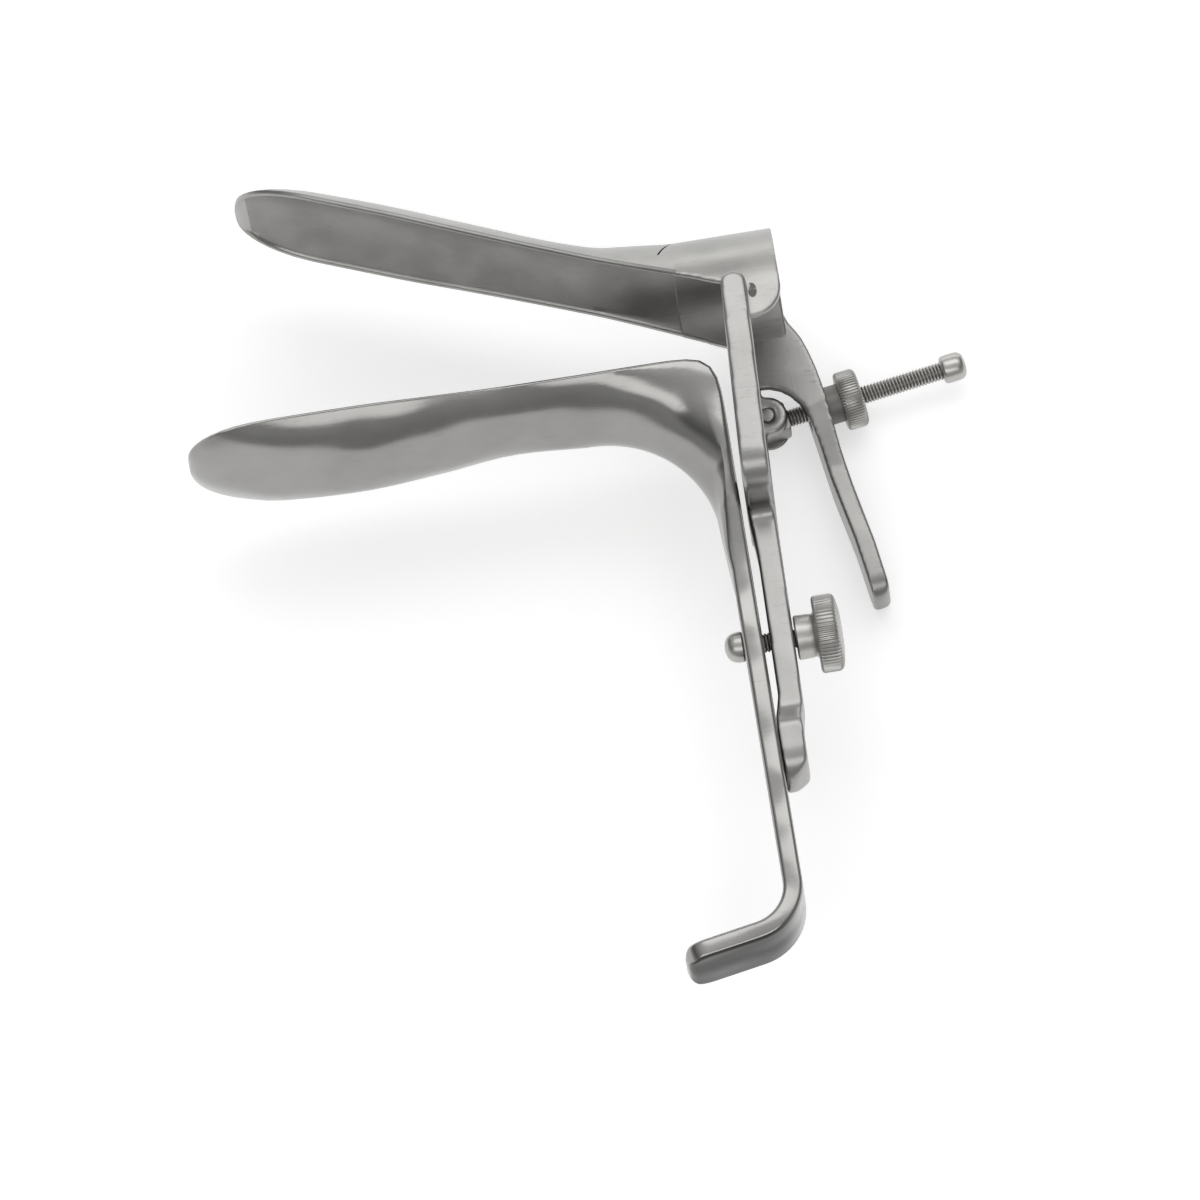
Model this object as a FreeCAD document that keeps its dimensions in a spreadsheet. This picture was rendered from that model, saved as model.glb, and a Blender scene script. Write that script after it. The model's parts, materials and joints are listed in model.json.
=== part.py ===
import FreeCAD, Part
import Sketcher
import math
import os

# A bivalve speculum of the kind with a sliding yoke, lying on its side as photographed.
# Modelled about its blade hinge: +X runs to the screw end, +Y to the upper blade and
# +Z to the plain arm. Every finished piece is then shifted so that the frame's origin
# is at the bottom centre of the whole instrument.

Vector = FreeCAD.Vector
doc = FreeCAD.newDocument("bivalve_speculum")
sheet = doc.addObject("Spreadsheet::Sheet", "sizes")

SIZES = {
    # Sheet metal and clearances
    "blade_wall": 1.7,
    "rim_lip": 0.4,
    "tip_run": 18.0,
    "tip_blunt": 0.18,
    "run_clear": 0.05,
    "side_gap": 0.2,
    "edge_break": 0.5,
    # Upper blade, measured along its own axis from the hinge
    "blade_rise": 22.3,
    "upper_rim": 0.8,
    "upper_reach": 107.2,
    "upper_bill_half": 17.5,
    "upper_waist_half": 15.7,
    "upper_bill_depth": 6.7,
    # Hood and its two ears
    "hood_radius": 18.5,
    "hood_drop": 0.5,
    "hood_front": 12.0,
    "hood_back": 9.4,
    "ear_radius": 7.0,
    "ear_run": 2.4,
    # Lower blade, measured from the hinge
    "lower_rim": 11.7,
    "lower_reach": 115.9,
    "lower_bill_half": 17.8,
    "lower_waist_half": 14.6,
    "lower_bill_depth": 10.4,
    "lower_waist_depth": 7.9,
    "neck_out": 35.0,
    "neck_down": 42.0,
    "neck_radius": 21.2,
    "neck_gain": 2.8,
    "neck_narrow": 0.28,
    "neck_lip": 3.0,
    "neck_wall_gain": 1.6,
    # Handle bar and foot
    "handle_back": 5.8,
    "handle_thick": 4.0,
    "handle_half": 8.0,
    "handle_top": 56.5,
    "foot_start": 125.0,
    "foot_bend": 8.0,
    "foot_angle": 80.0,
    "foot_reach": 33.0,
    "slot_top": 60.0,
    "slot_bottom": 115.0,
    "slot_wide": 4.3,
    # Yoke
    "arm_thick": 3.0,
    "arm_wide": 5.3,
    "yoke_drop": 43.5,
    "yoke_bar_high": 5.0,
    "bar_front": 4.1,
    "bar_thick": 4.8,
    "bar_half": 4.6,
    "pad_top": 89.0,
    "pad_bottom": 103.3,
    "pad_half": 7.0,
    # Hinge rivets
    "rivet_radius": 1.55,
    "rivet_head": 2.6,
    "rivet_head_high": 0.8,
    # Thumb lever
    "lever_plate": 2.8,
    "lever_thick": 3.8,
    "lever_wide": 11.6,
    "lever_end": 45.7,
    "lever_slot": 8.0,
    # Swivel and adjusting screw
    "swivel_out": 2.7,
    "swivel_down": 13.6,
    "lug_radius": 4.2,
    "block_size": 6.4,
    "block_wide": 5.0,
    "pin_radius": 1.5,
    "pin_head": 4.4,
    "pin_head_high": 1.4,
    "rod_radius": 1.9,
    "rod_angle": 8.8,
    "rod_long": 42.6,
    "stop_radius": 2.95,
    "stop_long": 5.0,
    "nut_start": 12.35,
    "nut_collar": 4.0,
    "nut_collar_long": 3.3,
    "nut_knurl": 6.15,
    "nut_knurl_long": 4.4,
    # Clamping screw through the handle slot and the yoke bar
    "clamp_down": 70.8,
    "clamp_radius": 2.0,
    "clamp_head": 3.15,
    "clamp_head_high": 3.9,
    "knob_collar": 4.6,
    "knob_collar_long": 4.2,
    "knob_knurl": 8.0,
    "knob_knurl_long": 4.9,
}

for row, (alias, value) in enumerate(SIZES.items(), start=1):
    sheet.set("A%d" % row, alias.replace("_", " "))
    sheet.set("B%d" % row, str(value))
    sheet.setAlias("B%d" % row, alias)
doc.recompute()


def size(expression):
    """Value of an expression on the sheet's sizes, in millimetres or degrees."""
    return float(sheet.evalExpression(expression))


def dimension(sketch, constraint, expression):
    """Add a driving dimension to a sketch and tie it to the sheet."""
    index = sketch.addConstraint(constraint)
    sketch.setExpression("Constraints[%d]" % index, expression)


def attach(body, sketch, role, offset=(0, 0, 0), turn=None):
    """Lay a sketch on one of its body's origin planes, offset and turned by expressions."""
    plane = [item for item in body.Origin.OriginFeatures if item.Role == role][0]
    sketch.AttachmentSupport = (plane, [""])
    sketch.MapMode = "FlatFace"
    place = FreeCAD.Placement()
    place.Base = Vector(*[size(str(item)) for item in offset])
    if turn:
        place.Rotation = FreeCAD.Rotation(Vector(0, 1, 0), size(turn))
    sketch.AttachmentOffset = place
    for axis, item in zip("xyz", offset):
        if item != 0:
            sketch.setExpression(".AttachmentOffset.Base." + axis, str(item))
    if turn:
        sketch.setExpression(".AttachmentOffset.Rotation.Angle", turn)


def pin_point(sketch, geometry, end, across, up):
    """Fix one sketch point at two expressions from the sketch's origin, or on an axis for 0."""
    for kind, axis, item in (("DistanceX", -2, across), ("DistanceY", -1, up)):
        if item == "0":
            sketch.addConstraint(Sketcher.Constraint("PointOnObject", geometry, end, axis))
        else:
            dimension(sketch, Sketcher.Constraint(kind, -1, 1, geometry, end, size(item)), item)


def outline(sketch, corners):
    """Draw a closed outline of straight runs.

    A corner is (across, up) or (across, up, radius): with a radius it is rounded by a
    tangent arc, and its sharp point stays as a construction point that carries the sizes.
    """
    count = len(corners)
    sharp = [Vector(size(corner[0]), size(corner[1]), 0) for corner in corners]
    round_by = [size(corner[2]) if len(corner) > 2 else 0.0 for corner in corners]
    leave, arrive, centres, spans = [], [], [], []
    for index, point in enumerate(sharp):
        back = (sharp[index - 1] - point).normalize()
        ahead = (sharp[(index + 1) % count] - point).normalize()
        half = back.getAngle(ahead) / 2
        run = round_by[index] / math.tan(half) if round_by[index] else 0.0
        arrive.append(point + back * run)
        leave.append(point + ahead * run)
        middle = (back + ahead).normalize() if round_by[index] else Vector()
        centres.append(point + middle * (round_by[index] / math.sin(half)) if round_by[index] else point)
        spans.append(back.cross(ahead).z)
    for index in range(count):
        following = (index + 1) % count
        sketch.addGeometry(Part.LineSegment(leave[index], arrive[following]), False)
    for index, corner in enumerate(corners):
        line_in, line_out = (index - 1) % count, index
        if not round_by[index]:
            sketch.addConstraint(Sketcher.Constraint("Coincident", line_in, 2, line_out, 1))
            pin_point(sketch, line_out, 1, corner[0], corner[1])
            continue
        first = arrive[index] - centres[index]
        last = leave[index] - centres[index]
        start, finish = math.atan2(first.y, first.x), math.atan2(last.y, last.x)
        forward = spans[index] < 0
        circle = Part.Circle(centres[index], Vector(0, 0, 1), round_by[index])
        turn = (start, finish) if forward else (finish, start)
        arc = sketch.addGeometry(Part.ArcOfCircle(circle, turn[0], turn[1]), False)
        entry, outlet = (1, 2) if forward else (2, 1)
        sketch.addConstraint(Sketcher.Constraint("Tangent", line_in, 2, arc, entry))
        sketch.addConstraint(Sketcher.Constraint("Tangent", arc, outlet, line_out, 1))
        dimension(sketch, Sketcher.Constraint("Radius", arc, round_by[index]), corner[2])
        mark = sketch.addGeometry(Part.Point(sharp[index]), True)
        sketch.addConstraint(Sketcher.Constraint("PointOnObject", mark, 1, line_in))
        sketch.addConstraint(Sketcher.Constraint("PointOnObject", mark, 1, line_out))
        pin_point(sketch, mark, 1, corner[0], corner[1])


def trough_section(sketch, rim, crest, half, lip):
    """Draw one cross-section of a blade: a chord at the rims, two short lips and an arc.

    The sketch's first axis is the blade's depth and its second the width. rim and crest
    are levels on the first axis, half is the half width and lip the straight part of a rim.
    """
    top, bottom, wide, straight = size(rim), size(crest), size(half), size(lip)
    way = 1 if bottom > top else -1
    level = top + way * straight
    sag = abs(bottom - level)
    radius = (wide ** 2 + sag ** 2) / (2 * sag)
    right, left = Vector(level, wide, 0), Vector(level, -wide, 0)
    chord = sketch.addGeometry(Part.LineSegment(Vector(top, -wide, 0), Vector(top, wide, 0)), False)
    leg_out = sketch.addGeometry(Part.LineSegment(Vector(top, wide, 0), right), False)
    arc = sketch.addGeometry(Part.Arc(right, Vector(bottom, 0, 0), left), False)
    leg_back = sketch.addGeometry(Part.LineSegment(left, Vector(top, -wide, 0)), False)
    near, far = (1, 2) if sketch.getPoint(arc, 1).y > 0 else (2, 1)
    for first, first_end, second, second_end in (
            (chord, 2, leg_out, 1), (leg_out, 2, arc, near),
            (arc, far, leg_back, 1), (leg_back, 2, chord, 1)):
        sketch.addConstraint(Sketcher.Constraint("Coincident", first, first_end, second, second_end))
    sketch.addConstraint(Sketcher.Constraint("Symmetric", chord, 1, chord, 2, -1))
    sketch.addConstraint(Sketcher.Constraint("Horizontal", leg_out))
    sketch.addConstraint(Sketcher.Constraint("Horizontal", leg_back))
    sketch.addConstraint(Sketcher.Constraint("PointOnObject", arc, 3, -1))
    dimension(sketch, Sketcher.Constraint("DistanceY", chord, 1, chord, 2, 2 * wide), "2 * (%s)" % half)
    dimension(sketch, Sketcher.Constraint("DistanceX", -1, 1, chord, 2, top), rim)
    dimension(sketch, Sketcher.Constraint("DistanceX", -1, 1, leg_out, 2, level),
              "(%s) + (%d) * (%s)" % (rim, way, lip))
    drop = "(abs((%s) - (%s)) - (%s))" % (crest, rim, lip)
    dimension(sketch, Sketcher.Constraint("Radius", arc, radius),
              "((%s)^2 + %s^2) / (2 * %s)" % (half, drop, drop))


def body_named(name):
    """A new PartDesign body with its own label."""
    body = doc.addObject("PartDesign::Body", name)
    body.Label = name
    return body


def loft(body, kind, name, sections):
    """Loft through a body's close-set section sketches, adding or taking away."""
    feature = body.newObject("PartDesign::" + kind, name)
    feature.Profile = (sections[0], [""])
    feature.Sections = [(section, [""]) for section in sections[1:]]
    feature.Ruled = True
    return feature


def pad(body, sketch, name, length, both_ways=False):
    """Pad a sketch by an expression, to one side or evenly to both."""
    feature = body.newObject("PartDesign::Pad", name)
    feature.Profile = (sketch, [""])
    feature.Length = size(length)
    feature.setExpression("Length", length)
    if both_ways:
        feature.SideType = "Symmetric"
    return feature


def pocket_through(body, sketch, name):
    """Cut a sketch right through its body, both ways."""
    feature = body.newObject("PartDesign::Pocket", name)
    feature.Profile = (sketch, [""])
    feature.Type = "ThroughAll"
    feature.SideType = "Symmetric"
    return feature


def drawn(body, name, role, corners, offset=(0, 0, 0)):
    """An outline sketch on one of a body's origin planes."""
    sketch = body.newObject("Sketcher::SketchObject", name)
    attach(body, sketch, role, offset)
    outline(sketch, corners)
    return sketch


def circle_in(body, name, role, across, up, radius, offset=(0, 0, 0)):
    """A sketch of one circle on a body's origin plane."""
    sketch = body.newObject("Sketcher::SketchObject", name)
    attach(body, sketch, role, offset)
    centre = Vector(size(across), size(up), 0)
    ring = sketch.addGeometry(Part.Circle(centre, Vector(0, 0, 1), size(radius)), False)
    pin_point(sketch, ring, 3, across, up)
    dimension(sketch, Sketcher.Constraint("Radius", ring, size(radius)), radius)
    return sketch


TIP_STEPS = 6
NECK_STEPS = 8


def tip_stations(reach, half, depth, shallow):
    """Sections of a blade's rounded tip, set closer towards the end.

    shallow is the share of the full depth that the very end has. Each station is its reach
    from the hinge, its half width and its depth.
    """
    stations = []
    for step in range(TIP_STEPS):
        along = "(%d / %d)^2" % (step, TIP_STEPS)
        wide = "(sizes.tip_blunt + (1 - sizes.tip_blunt) * sqrt(1 - (1 - %s)^2.3))" % along
        deep = "(%s + (0.92 - %s) * sqrt(%s))" % (shallow, shallow, along)
        stations.append(("%s - sizes.tip_run * %s" % (reach, along),
                         "%s * %s" % (half, wide), "%s * %s" % (depth, deep)))
    return stations


# Upper blade: a duck-bill trough, lofted in its own straight frame and then raised
def make_upper_blade():
    body = body_named("upper_blade")
    rim = "sizes.upper_rim"
    seam_rim = "(sizes.hood_front * tan(sizes.blade_rise) + sizes.upper_rim / cos(sizes.blade_rise))"
    seam_half = "sqrt(sizes.hood_radius^2 - (%s + sizes.hood_drop)^2)" % seam_rim
    seam_crest = "(sizes.hood_radius - sizes.hood_drop)"
    bill, waist, deep = "sizes.upper_bill_half", "sizes.upper_waist_half", "sizes.upper_bill_depth"
    stations = (
        ("0.224 * sizes.upper_reach", waist + " * 1.03", deep + " * 1.37"),
        ("0.3 * sizes.upper_reach", waist, deep + " * 1.05"),
        ("0.4 * sizes.upper_reach", waist + " * 1.01", deep + " * 0.94"),
        ("0.55 * sizes.upper_reach", "(%s + %s) / 2" % (bill, waist), deep + " * 0.99"),
        ("0.7 * sizes.upper_reach", bill, deep),
        ("sizes.upper_reach - sizes.tip_run", bill, deep + " * 0.95"),
    ) + tuple(reversed(tip_stations("sizes.upper_reach", bill, deep, "0.28")))
    outer, inner = [], []
    for wall, group, prefix in (("0", outer, "shell"), ("sizes.blade_wall", inner, "hollow")):
        sketch = body.newObject("Sketcher::SketchObject", prefix + "_seam")
        attach(body, sketch, "YZ_Plane", (0, 0, 0), "sizes.blade_rise")
        sketch.setExpression(".AttachmentOffset.Base.x", "-sizes.hood_front * sin(sizes.blade_rise)")
        sketch.setExpression(".AttachmentOffset.Base.z", "-sizes.hood_front * cos(sizes.blade_rise)")
        lift = "0" if wall == "0" else "1"
        lip = "sizes.rim_lip + " + lift
        trough_section(sketch, seam_rim + " - " + lift, seam_crest + " - " + wall,
                       seam_half + " - " + wall, lip)
        group.append(sketch)
        for index, (reach, half, depth) in enumerate(stations):
            if prefix == "hollow" and index == len(stations) - 1:
                continue
            sketch = body.newObject("Sketcher::SketchObject", "%s_%d" % (prefix, index))
            attach(body, sketch, "YZ_Plane", (0, 0, "-(%s)" % reach))
            trough_section(sketch, rim + " - " + lift, "%s + (%s) - %s" % (rim, depth, wall),
                           "(%s) - %s" % (half, wall), lip)
            group.append(sketch)
    loft(body, "AdditiveLoft", "shell", outer)
    loft(body, "SubtractiveLoft", "hollow", inner)
    body.setExpression(".Placement.Rotation.Angle", "-sizes.blade_rise")
    return body


# Hood: a bent sheet that arches over the neck and ends in two pivot ears
def make_hood():
    body = body_named("blade_hood")
    low = "-(sizes.ear_radius + 1)"
    for wall, kind, name in (
            ("0", "PartDesign::Pad", "sheet"),
            ("sizes.blade_wall", "PartDesign::Pocket", "arch")):
        sketch = body.newObject("Sketcher::SketchObject", name + "_section")
        attach(body, sketch, "YZ_Plane", (0, 0, "-sizes.hood_front"))
        radius = "sizes.hood_radius - " + wall
        base = low if wall == "0" else low + " - 1"
        centre = Vector(-size("sizes.hood_drop"), 0, 0)
        half = size(radius)
        arc = sketch.addGeometry(Part.ArcOfCircle(Part.Circle(centre, Vector(0, 0, 1), half),
                                                  -math.pi / 2, math.pi / 2), False)
        far_foot, near_foot = Vector(size(base), -half, 0), Vector(size(base), half, 0)
        far_top, near_top = Vector(centre.x, -half, 0), Vector(centre.x, half, 0)
        far_leg = sketch.addGeometry(Part.LineSegment(far_foot, far_top), False)
        near_leg = sketch.addGeometry(Part.LineSegment(near_top, near_foot), False)
        foot = sketch.addGeometry(Part.LineSegment(near_foot, far_foot), False)
        for first, first_end, second, second_end in ((far_leg, 2, arc, 1), (arc, 2, near_leg, 1)):
            sketch.addConstraint(Sketcher.Constraint("Tangent", first, first_end, second, second_end))
        for first, first_end, second, second_end in ((near_leg, 2, foot, 1), (foot, 2, far_leg, 1)):
            sketch.addConstraint(Sketcher.Constraint("Coincident", first, first_end, second, second_end))
        sketch.addConstraint(Sketcher.Constraint("Horizontal", near_leg))
        sketch.addConstraint(Sketcher.Constraint("Horizontal", far_leg))
        sketch.addConstraint(Sketcher.Constraint("Vertical", foot))
        pin_point(sketch, arc, 3, "-sizes.hood_drop", "0")
        dimension(sketch, Sketcher.Constraint("Radius", arc, half), radius)
        dimension(sketch, Sketcher.Constraint("DistanceX", -1, 1, foot, 1, size(base)), base)
        feature = body.newObject(kind, name)
        feature.Profile = (sketch, [""])
        if name == "sheet":
            feature.Length = size("sizes.hood_front + sizes.hood_back")
            feature.setExpression("Length", "sizes.hood_front + sizes.hood_back")
        else:
            feature.Type = "ThroughAll"
            feature.SideType = "Symmetric"
    # The cutter is all that lies under the rim line and outside the two round ear ends
    seam_rim = "sizes.hood_front * tan(sizes.blade_rise) + sizes.upper_rim / cos(sizes.blade_rise)"
    ear, run = "sizes.ear_radius", "sizes.ear_run"
    beyond = "(sizes.hood_front + 5)"
    under = "-(sizes.ear_radius + 5)"
    cutter = drawn(body, "ear_outline", "XY_Plane", (
        ("-" + beyond, seam_rim + " + 5 * tan(sizes.blade_rise)"),
        ("-%s * 0.93" % ear,
         "0.93 * %s * tan(sizes.blade_rise) + sizes.upper_rim / cos(sizes.blade_rise)" % ear),
        ("-%s" % ear, "-%s" % ear, ear + " * 0.95"),
        ("%s + %s" % (run, ear), "-%s" % ear, ear + " * 0.95"),
        ("%s + %s" % (run, ear), "%s * 0.1" % ear),
        (beyond, "%s * 0.1" % ear),
        (beyond, under),
        ("-" + beyond, under)))
    pocket_through(body, cutter, "ear_trim")
    hole = circle_in(body, "pivot_hole_outline", "XY_Plane", "0", "0",
                     "sizes.rivet_radius + sizes.run_clear")
    pocket_through(body, hole, "pivot_hole")
    return body


# Lower blade, neck, slotted handle and foot: one forging
def make_lower_blade():
    body = body_named("lower_blade")
    rim = "-sizes.lower_rim"
    bill, waist = "sizes.lower_bill_half", "sizes.lower_waist_half"
    deep, shallow = "sizes.lower_bill_depth", "sizes.lower_waist_depth"
    straight = tuple(tip_stations("sizes.lower_reach", bill, deep, "0.18")) + (
        ("sizes.lower_reach - sizes.tip_run", bill, deep + " * 0.92"),
        ("sizes.lower_reach * 0.7", bill + " * 0.985", deep),
        ("sizes.lower_reach * 0.56", "(%s + %s) / 2" % (bill, waist), deep + " * 0.9"),
        ("sizes.lower_reach * 0.43", waist + " * 1.03", shallow),
    )
    # Round the neck the sections fan out from one centre, from the blade's rim level to the
    # handle's rear face; each is its angle, rim, crest, half width, the straight lip of the
    # outside and of the hollow, and what the wall gains towards the handle
    level = "(sizes.neck_down - sizes.lower_rim)"
    upright = "(sizes.neck_out - sizes.handle_back)"
    front = "(sizes.neck_out - sizes.handle_back - sizes.handle_thick)"
    fan = []
    for step in range(NECK_STEPS + 1):
        share = "(%d / %d)" % (step, NECK_STEPS)
        angle = "(90 * %s)" % share
        corner = "1 / ((cos(%s) / %s)^10 + (sin(%s) / %s)^10)^0.1" % (angle, level, angle, upright)
        swell = "sizes.rim_lip + sizes.neck_lip * sin(180 * %s)^4" % share
        fan.append((angle, corner, "sizes.neck_radius + sizes.neck_gain * %s^2" % share,
                    "%s * (1 - sizes.neck_narrow * %s^3)" % (waist, share),
                    "%s + 2.2 * %s^2" % (swell, share), swell, "sizes.neck_wall_gain * " + share))
    outer, inner = [], []
    for wall, group, prefix in (("0", outer, "shell"), ("sizes.blade_wall", inner, "hollow")):
        lift = "0" if wall == "0" else "1"
        for index, (reach, half, depth) in enumerate(straight):
            if prefix == "hollow" and index == 0:
                continue
            sketch = body.newObject("Sketcher::SketchObject", "%s_blade_%d" % (prefix, index))
            attach(body, sketch, "YZ_Plane", (0, 0, "-(%s)" % reach))
            trough_section(sketch, rim + " + " + lift, "%s - (%s) + %s" % (rim, depth, wall),
                           "(%s) - %s" % (half, wall), "sizes.rim_lip + " + lift)
            group.append(sketch)
        for index, (angle, top, crest, half, lip, hollow_lip, thicker) in enumerate(fan):
            sketch = body.newObject("Sketcher::SketchObject", "%s_neck_%d" % (prefix, index))
            attach(body, sketch, "YZ_Plane", ("-sizes.neck_down", 0, "-sizes.neck_out"), "-(%s)" % angle)
            extra = "%s + %s" % (wall, thicker) if prefix == "hollow" else "0"
            straight_part = hollow_lip if prefix == "hollow" else lip
            trough_section(sketch, "%s + %s" % (top, lift), "%s + %s" % (crest, extra),
                           "(%s) - %s" % (half, wall), "%s + %s" % (straight_part, lift))
            group.append(sketch)
    for index, (down, crest, half, lip) in enumerate((
            ("(sizes.neck_down + 10)", front + " - 0.7", "sizes.handle_half + 0.7",
             "sizes.handle_thick - 0.8"),
            ("(sizes.handle_top + 1)", front + " - 0.03", "sizes.handle_half", "sizes.handle_thick"))):
        sketch = body.newObject("Sketcher::SketchObject", "shell_handle_%d" % index)
        attach(body, sketch, "YZ_Plane", ("-" + down, 0, "-sizes.neck_out"), "-(90)")
        trough_section(sketch, upright, crest, half, lip)
        outer.append(sketch)
    sketch = body.newObject("Sketcher::SketchObject", "hollow_end")
    attach(body, sketch, "YZ_Plane", ("-(sizes.neck_down + 6)", 0, "-sizes.neck_out"), "-(90)")
    trough_section(sketch, upright + " + 1", upright + " - 0.3", "sizes.handle_half * 0.45", "1.1")
    inner.append(sketch)
    loft(body, "AdditiveLoft", "shell", outer)
    loft(body, "SubtractiveLoft", "hollow", inner)

    back = "-sizes.handle_back"
    face = "-(sizes.handle_back + sizes.handle_thick)"
    drop = "tan(sizes.foot_angle / 2)"
    slope = "/ tan(sizes.foot_angle)"
    outer_bend = "(sizes.foot_bend + sizes.handle_thick)"
    outer_low = "(sizes.foot_start + %s * %s)" % (outer_bend, drop)
    inner_low = "(sizes.foot_start + sizes.foot_bend * %s)" % drop
    grip = drawn(body, "handle_outline", "XY_Plane", (
        (back, "-sizes.handle_top"),
        (back, "-" + outer_low, outer_bend),
        ("-sizes.foot_reach", "-(%s + (sizes.foot_reach - sizes.handle_back) %s)" % (outer_low, slope),
         "sizes.handle_thick * 0.4"),
        ("-sizes.foot_reach",
         "-(%s + (sizes.foot_reach - sizes.handle_back - sizes.handle_thick) %s)" % (inner_low, slope),
         "sizes.handle_thick * 0.4"),
        (face, "-" + inner_low, "sizes.foot_bend"),
        (face, "-sizes.handle_top")))
    pad(body, grip, "handle", "2 * sizes.handle_half", both_ways=True)
    half_slot = "sizes.slot_wide / 2"
    slot = drawn(body, "slot_outline", "YZ_Plane", (
        ("-sizes.slot_top", "-" + half_slot, half_slot + " * 0.96"),
        ("-sizes.slot_top", half_slot, half_slot + " * 0.96"),
        ("-sizes.slot_bottom", half_slot, half_slot + " * 0.96"),
        ("-sizes.slot_bottom", "-" + half_slot, half_slot + " * 0.96")))
    pocket_through(body, slot, "handle_slot")
    return body


# Yoke: two arms, a cross bar, a long bar and a round end pad, sawn and bent from one bar
def make_yoke():
    body = body_named("yoke")
    half_arm = "(sizes.arm_wide / 2)"
    front, back = "-sizes.bar_front", "(sizes.bar_thick - sizes.bar_front)"
    seat = "-(sizes.handle_back - sizes.run_clear)"
    side = drawn(body, "side_outline", "XY_Plane", (
        ("-" + half_arm, half_arm, half_arm + " * 0.96"),
        ("-%s - 2.1" % half_arm, "-(sizes.yoke_drop - 2)", "12"),
        (front, "-(sizes.yoke_drop + 10)", "12"),
        (front + " - 0.5", "-(sizes.pad_top - 5)", "3"),
        (seat, "-sizes.pad_top", "3"),
        (seat, "-sizes.pad_bottom"),
        (seat + " + 1.6", "-sizes.pad_bottom", "0.7"),
        (back + " - 1.4", "-(sizes.pad_bottom - 3.5)", "3"),
        (back + " - 1.2", "-(sizes.pad_top + 1)", "3"),
        (back + " - 0.4", "-(sizes.pad_top - 3)", "3"),
        (back + " + 0.3", "-sizes.yoke_drop", "12"),
        (half_arm, half_arm, half_arm + " * 0.96")))
    outside = "(sizes.arm_inner + sizes.arm_thick)"
    pad(body, side, "side_form", "2 * " + outside, both_ways=True)
    between = drawn(body, "gap_between_arms", "YZ_Plane", (
        ("sizes.arm_wide", "-sizes.arm_inner"),
        ("sizes.arm_wide", "sizes.arm_inner"),
        ("-(sizes.yoke_drop - sizes.yoke_bar_high)", "sizes.arm_inner", "4"),
        ("-(sizes.yoke_drop - sizes.yoke_bar_high)", "-sizes.arm_inner", "4")))
    pocket_through(body, between, "arm_gap")
    for name, way in (("near", ""), ("far", "-")):
        beside = drawn(body, name + "_side_outline", "YZ_Plane", (
            ("-(sizes.yoke_drop - 11)", "%s(%s + 5)" % (way, outside)),
            ("-(sizes.yoke_drop - 11)", "%s%s" % (way, outside)),
            ("-sizes.yoke_drop", "%s%s" % (way, outside), "7"),
            ("-sizes.yoke_drop", way + "sizes.bar_half", "3"),
            ("-(sizes.pad_top - 2)", way + "sizes.bar_half", "3"),
            ("-(sizes.pad_top + 2)", way + "sizes.pad_half", "3"),
            ("-sizes.pad_bottom", way + "sizes.pad_half", "sizes.pad_half * 0.93"),
            ("-sizes.pad_bottom", "0"),
            ("-(sizes.pad_bottom + 5)", "0"),
            ("-(sizes.pad_bottom + 5)", "%s(%s + 5)" % (way, outside))))
        pocket_through(body, beside, name + "_side")
    lug = circle_in(body, "lug_outline", "XY_Plane", "sizes.swivel_out", "-sizes.swivel_down",
                    "sizes.lug_radius", (0, 0, "-" + outside))
    pad(body, lug, "swivel_lug", "sizes.arm_thick")
    tongue = drawn(body, "tongue_outline", "XY_Plane", (
        (seat + " + 0.5", "-(sizes.pad_top + 3)"),
        (seat + " + 0.5", "-(sizes.pad_bottom - 2)"),
        (seat + " - 2.8", "-(sizes.pad_bottom - 2)", "1"),
        (seat + " - 2.8", "-(sizes.pad_top + 3)", "1")))
    pad(body, tongue, "guide_tongue", "sizes.slot_wide - 4 * sizes.run_clear", both_ways=True)
    for name, role, across, up, radius in (
            ("rivet_hole", "XY_Plane", "0", "0", "sizes.rivet_radius"),
            ("pin_hole", "XY_Plane", "sizes.swivel_out", "-sizes.swivel_down", "sizes.pin_radius"),
            ("clamp_hole", "YZ_Plane", "-sizes.clamp_down", "0",
             "sizes.clamp_radius + sizes.run_clear")):
        ring = circle_in(body, name + "_outline", role, across, up, radius)
        pocket_through(body, ring, name)
    return body


def turned(name, role, axis, corners):
    """A piece turned on a lathe: a closed half outline spun about a sketch axis."""
    body = body_named(name)
    profile = drawn(body, name + "_profile", role, corners)
    spin = body.newObject("PartDesign::Revolution", name + "_turning")
    spin.Profile = (profile, [""])
    spin.ReferenceAxis = (profile, [axis])
    spin.Angle = 360
    return body


# Hinge rivets: flush in the yoke's arm, with a low head inside the hood's ear
def make_rivet(name, way):
    outside = "%s(sizes.arm_inner + sizes.arm_thick)" % way
    # The head's top edge is what first meets the curve inside the hood
    ear = "sqrt((sizes.hood_radius - sizes.blade_wall)^2 - (sizes.rivet_head + sizes.hood_drop)^2)"
    under_head = "%s(%s - sizes.run_clear)" % (way, ear)
    head_end = "%s(%s - sizes.run_clear - sizes.rivet_head_high)" % (way, ear)
    return turned(name, "XZ_Plane", "V_Axis", (
        ("0", outside),
        ("sizes.rivet_radius", outside),
        ("sizes.rivet_radius", under_head),
        ("sizes.rivet_head", under_head),
        ("sizes.rivet_head * 0.7", head_end),
        ("0", head_end)))


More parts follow.
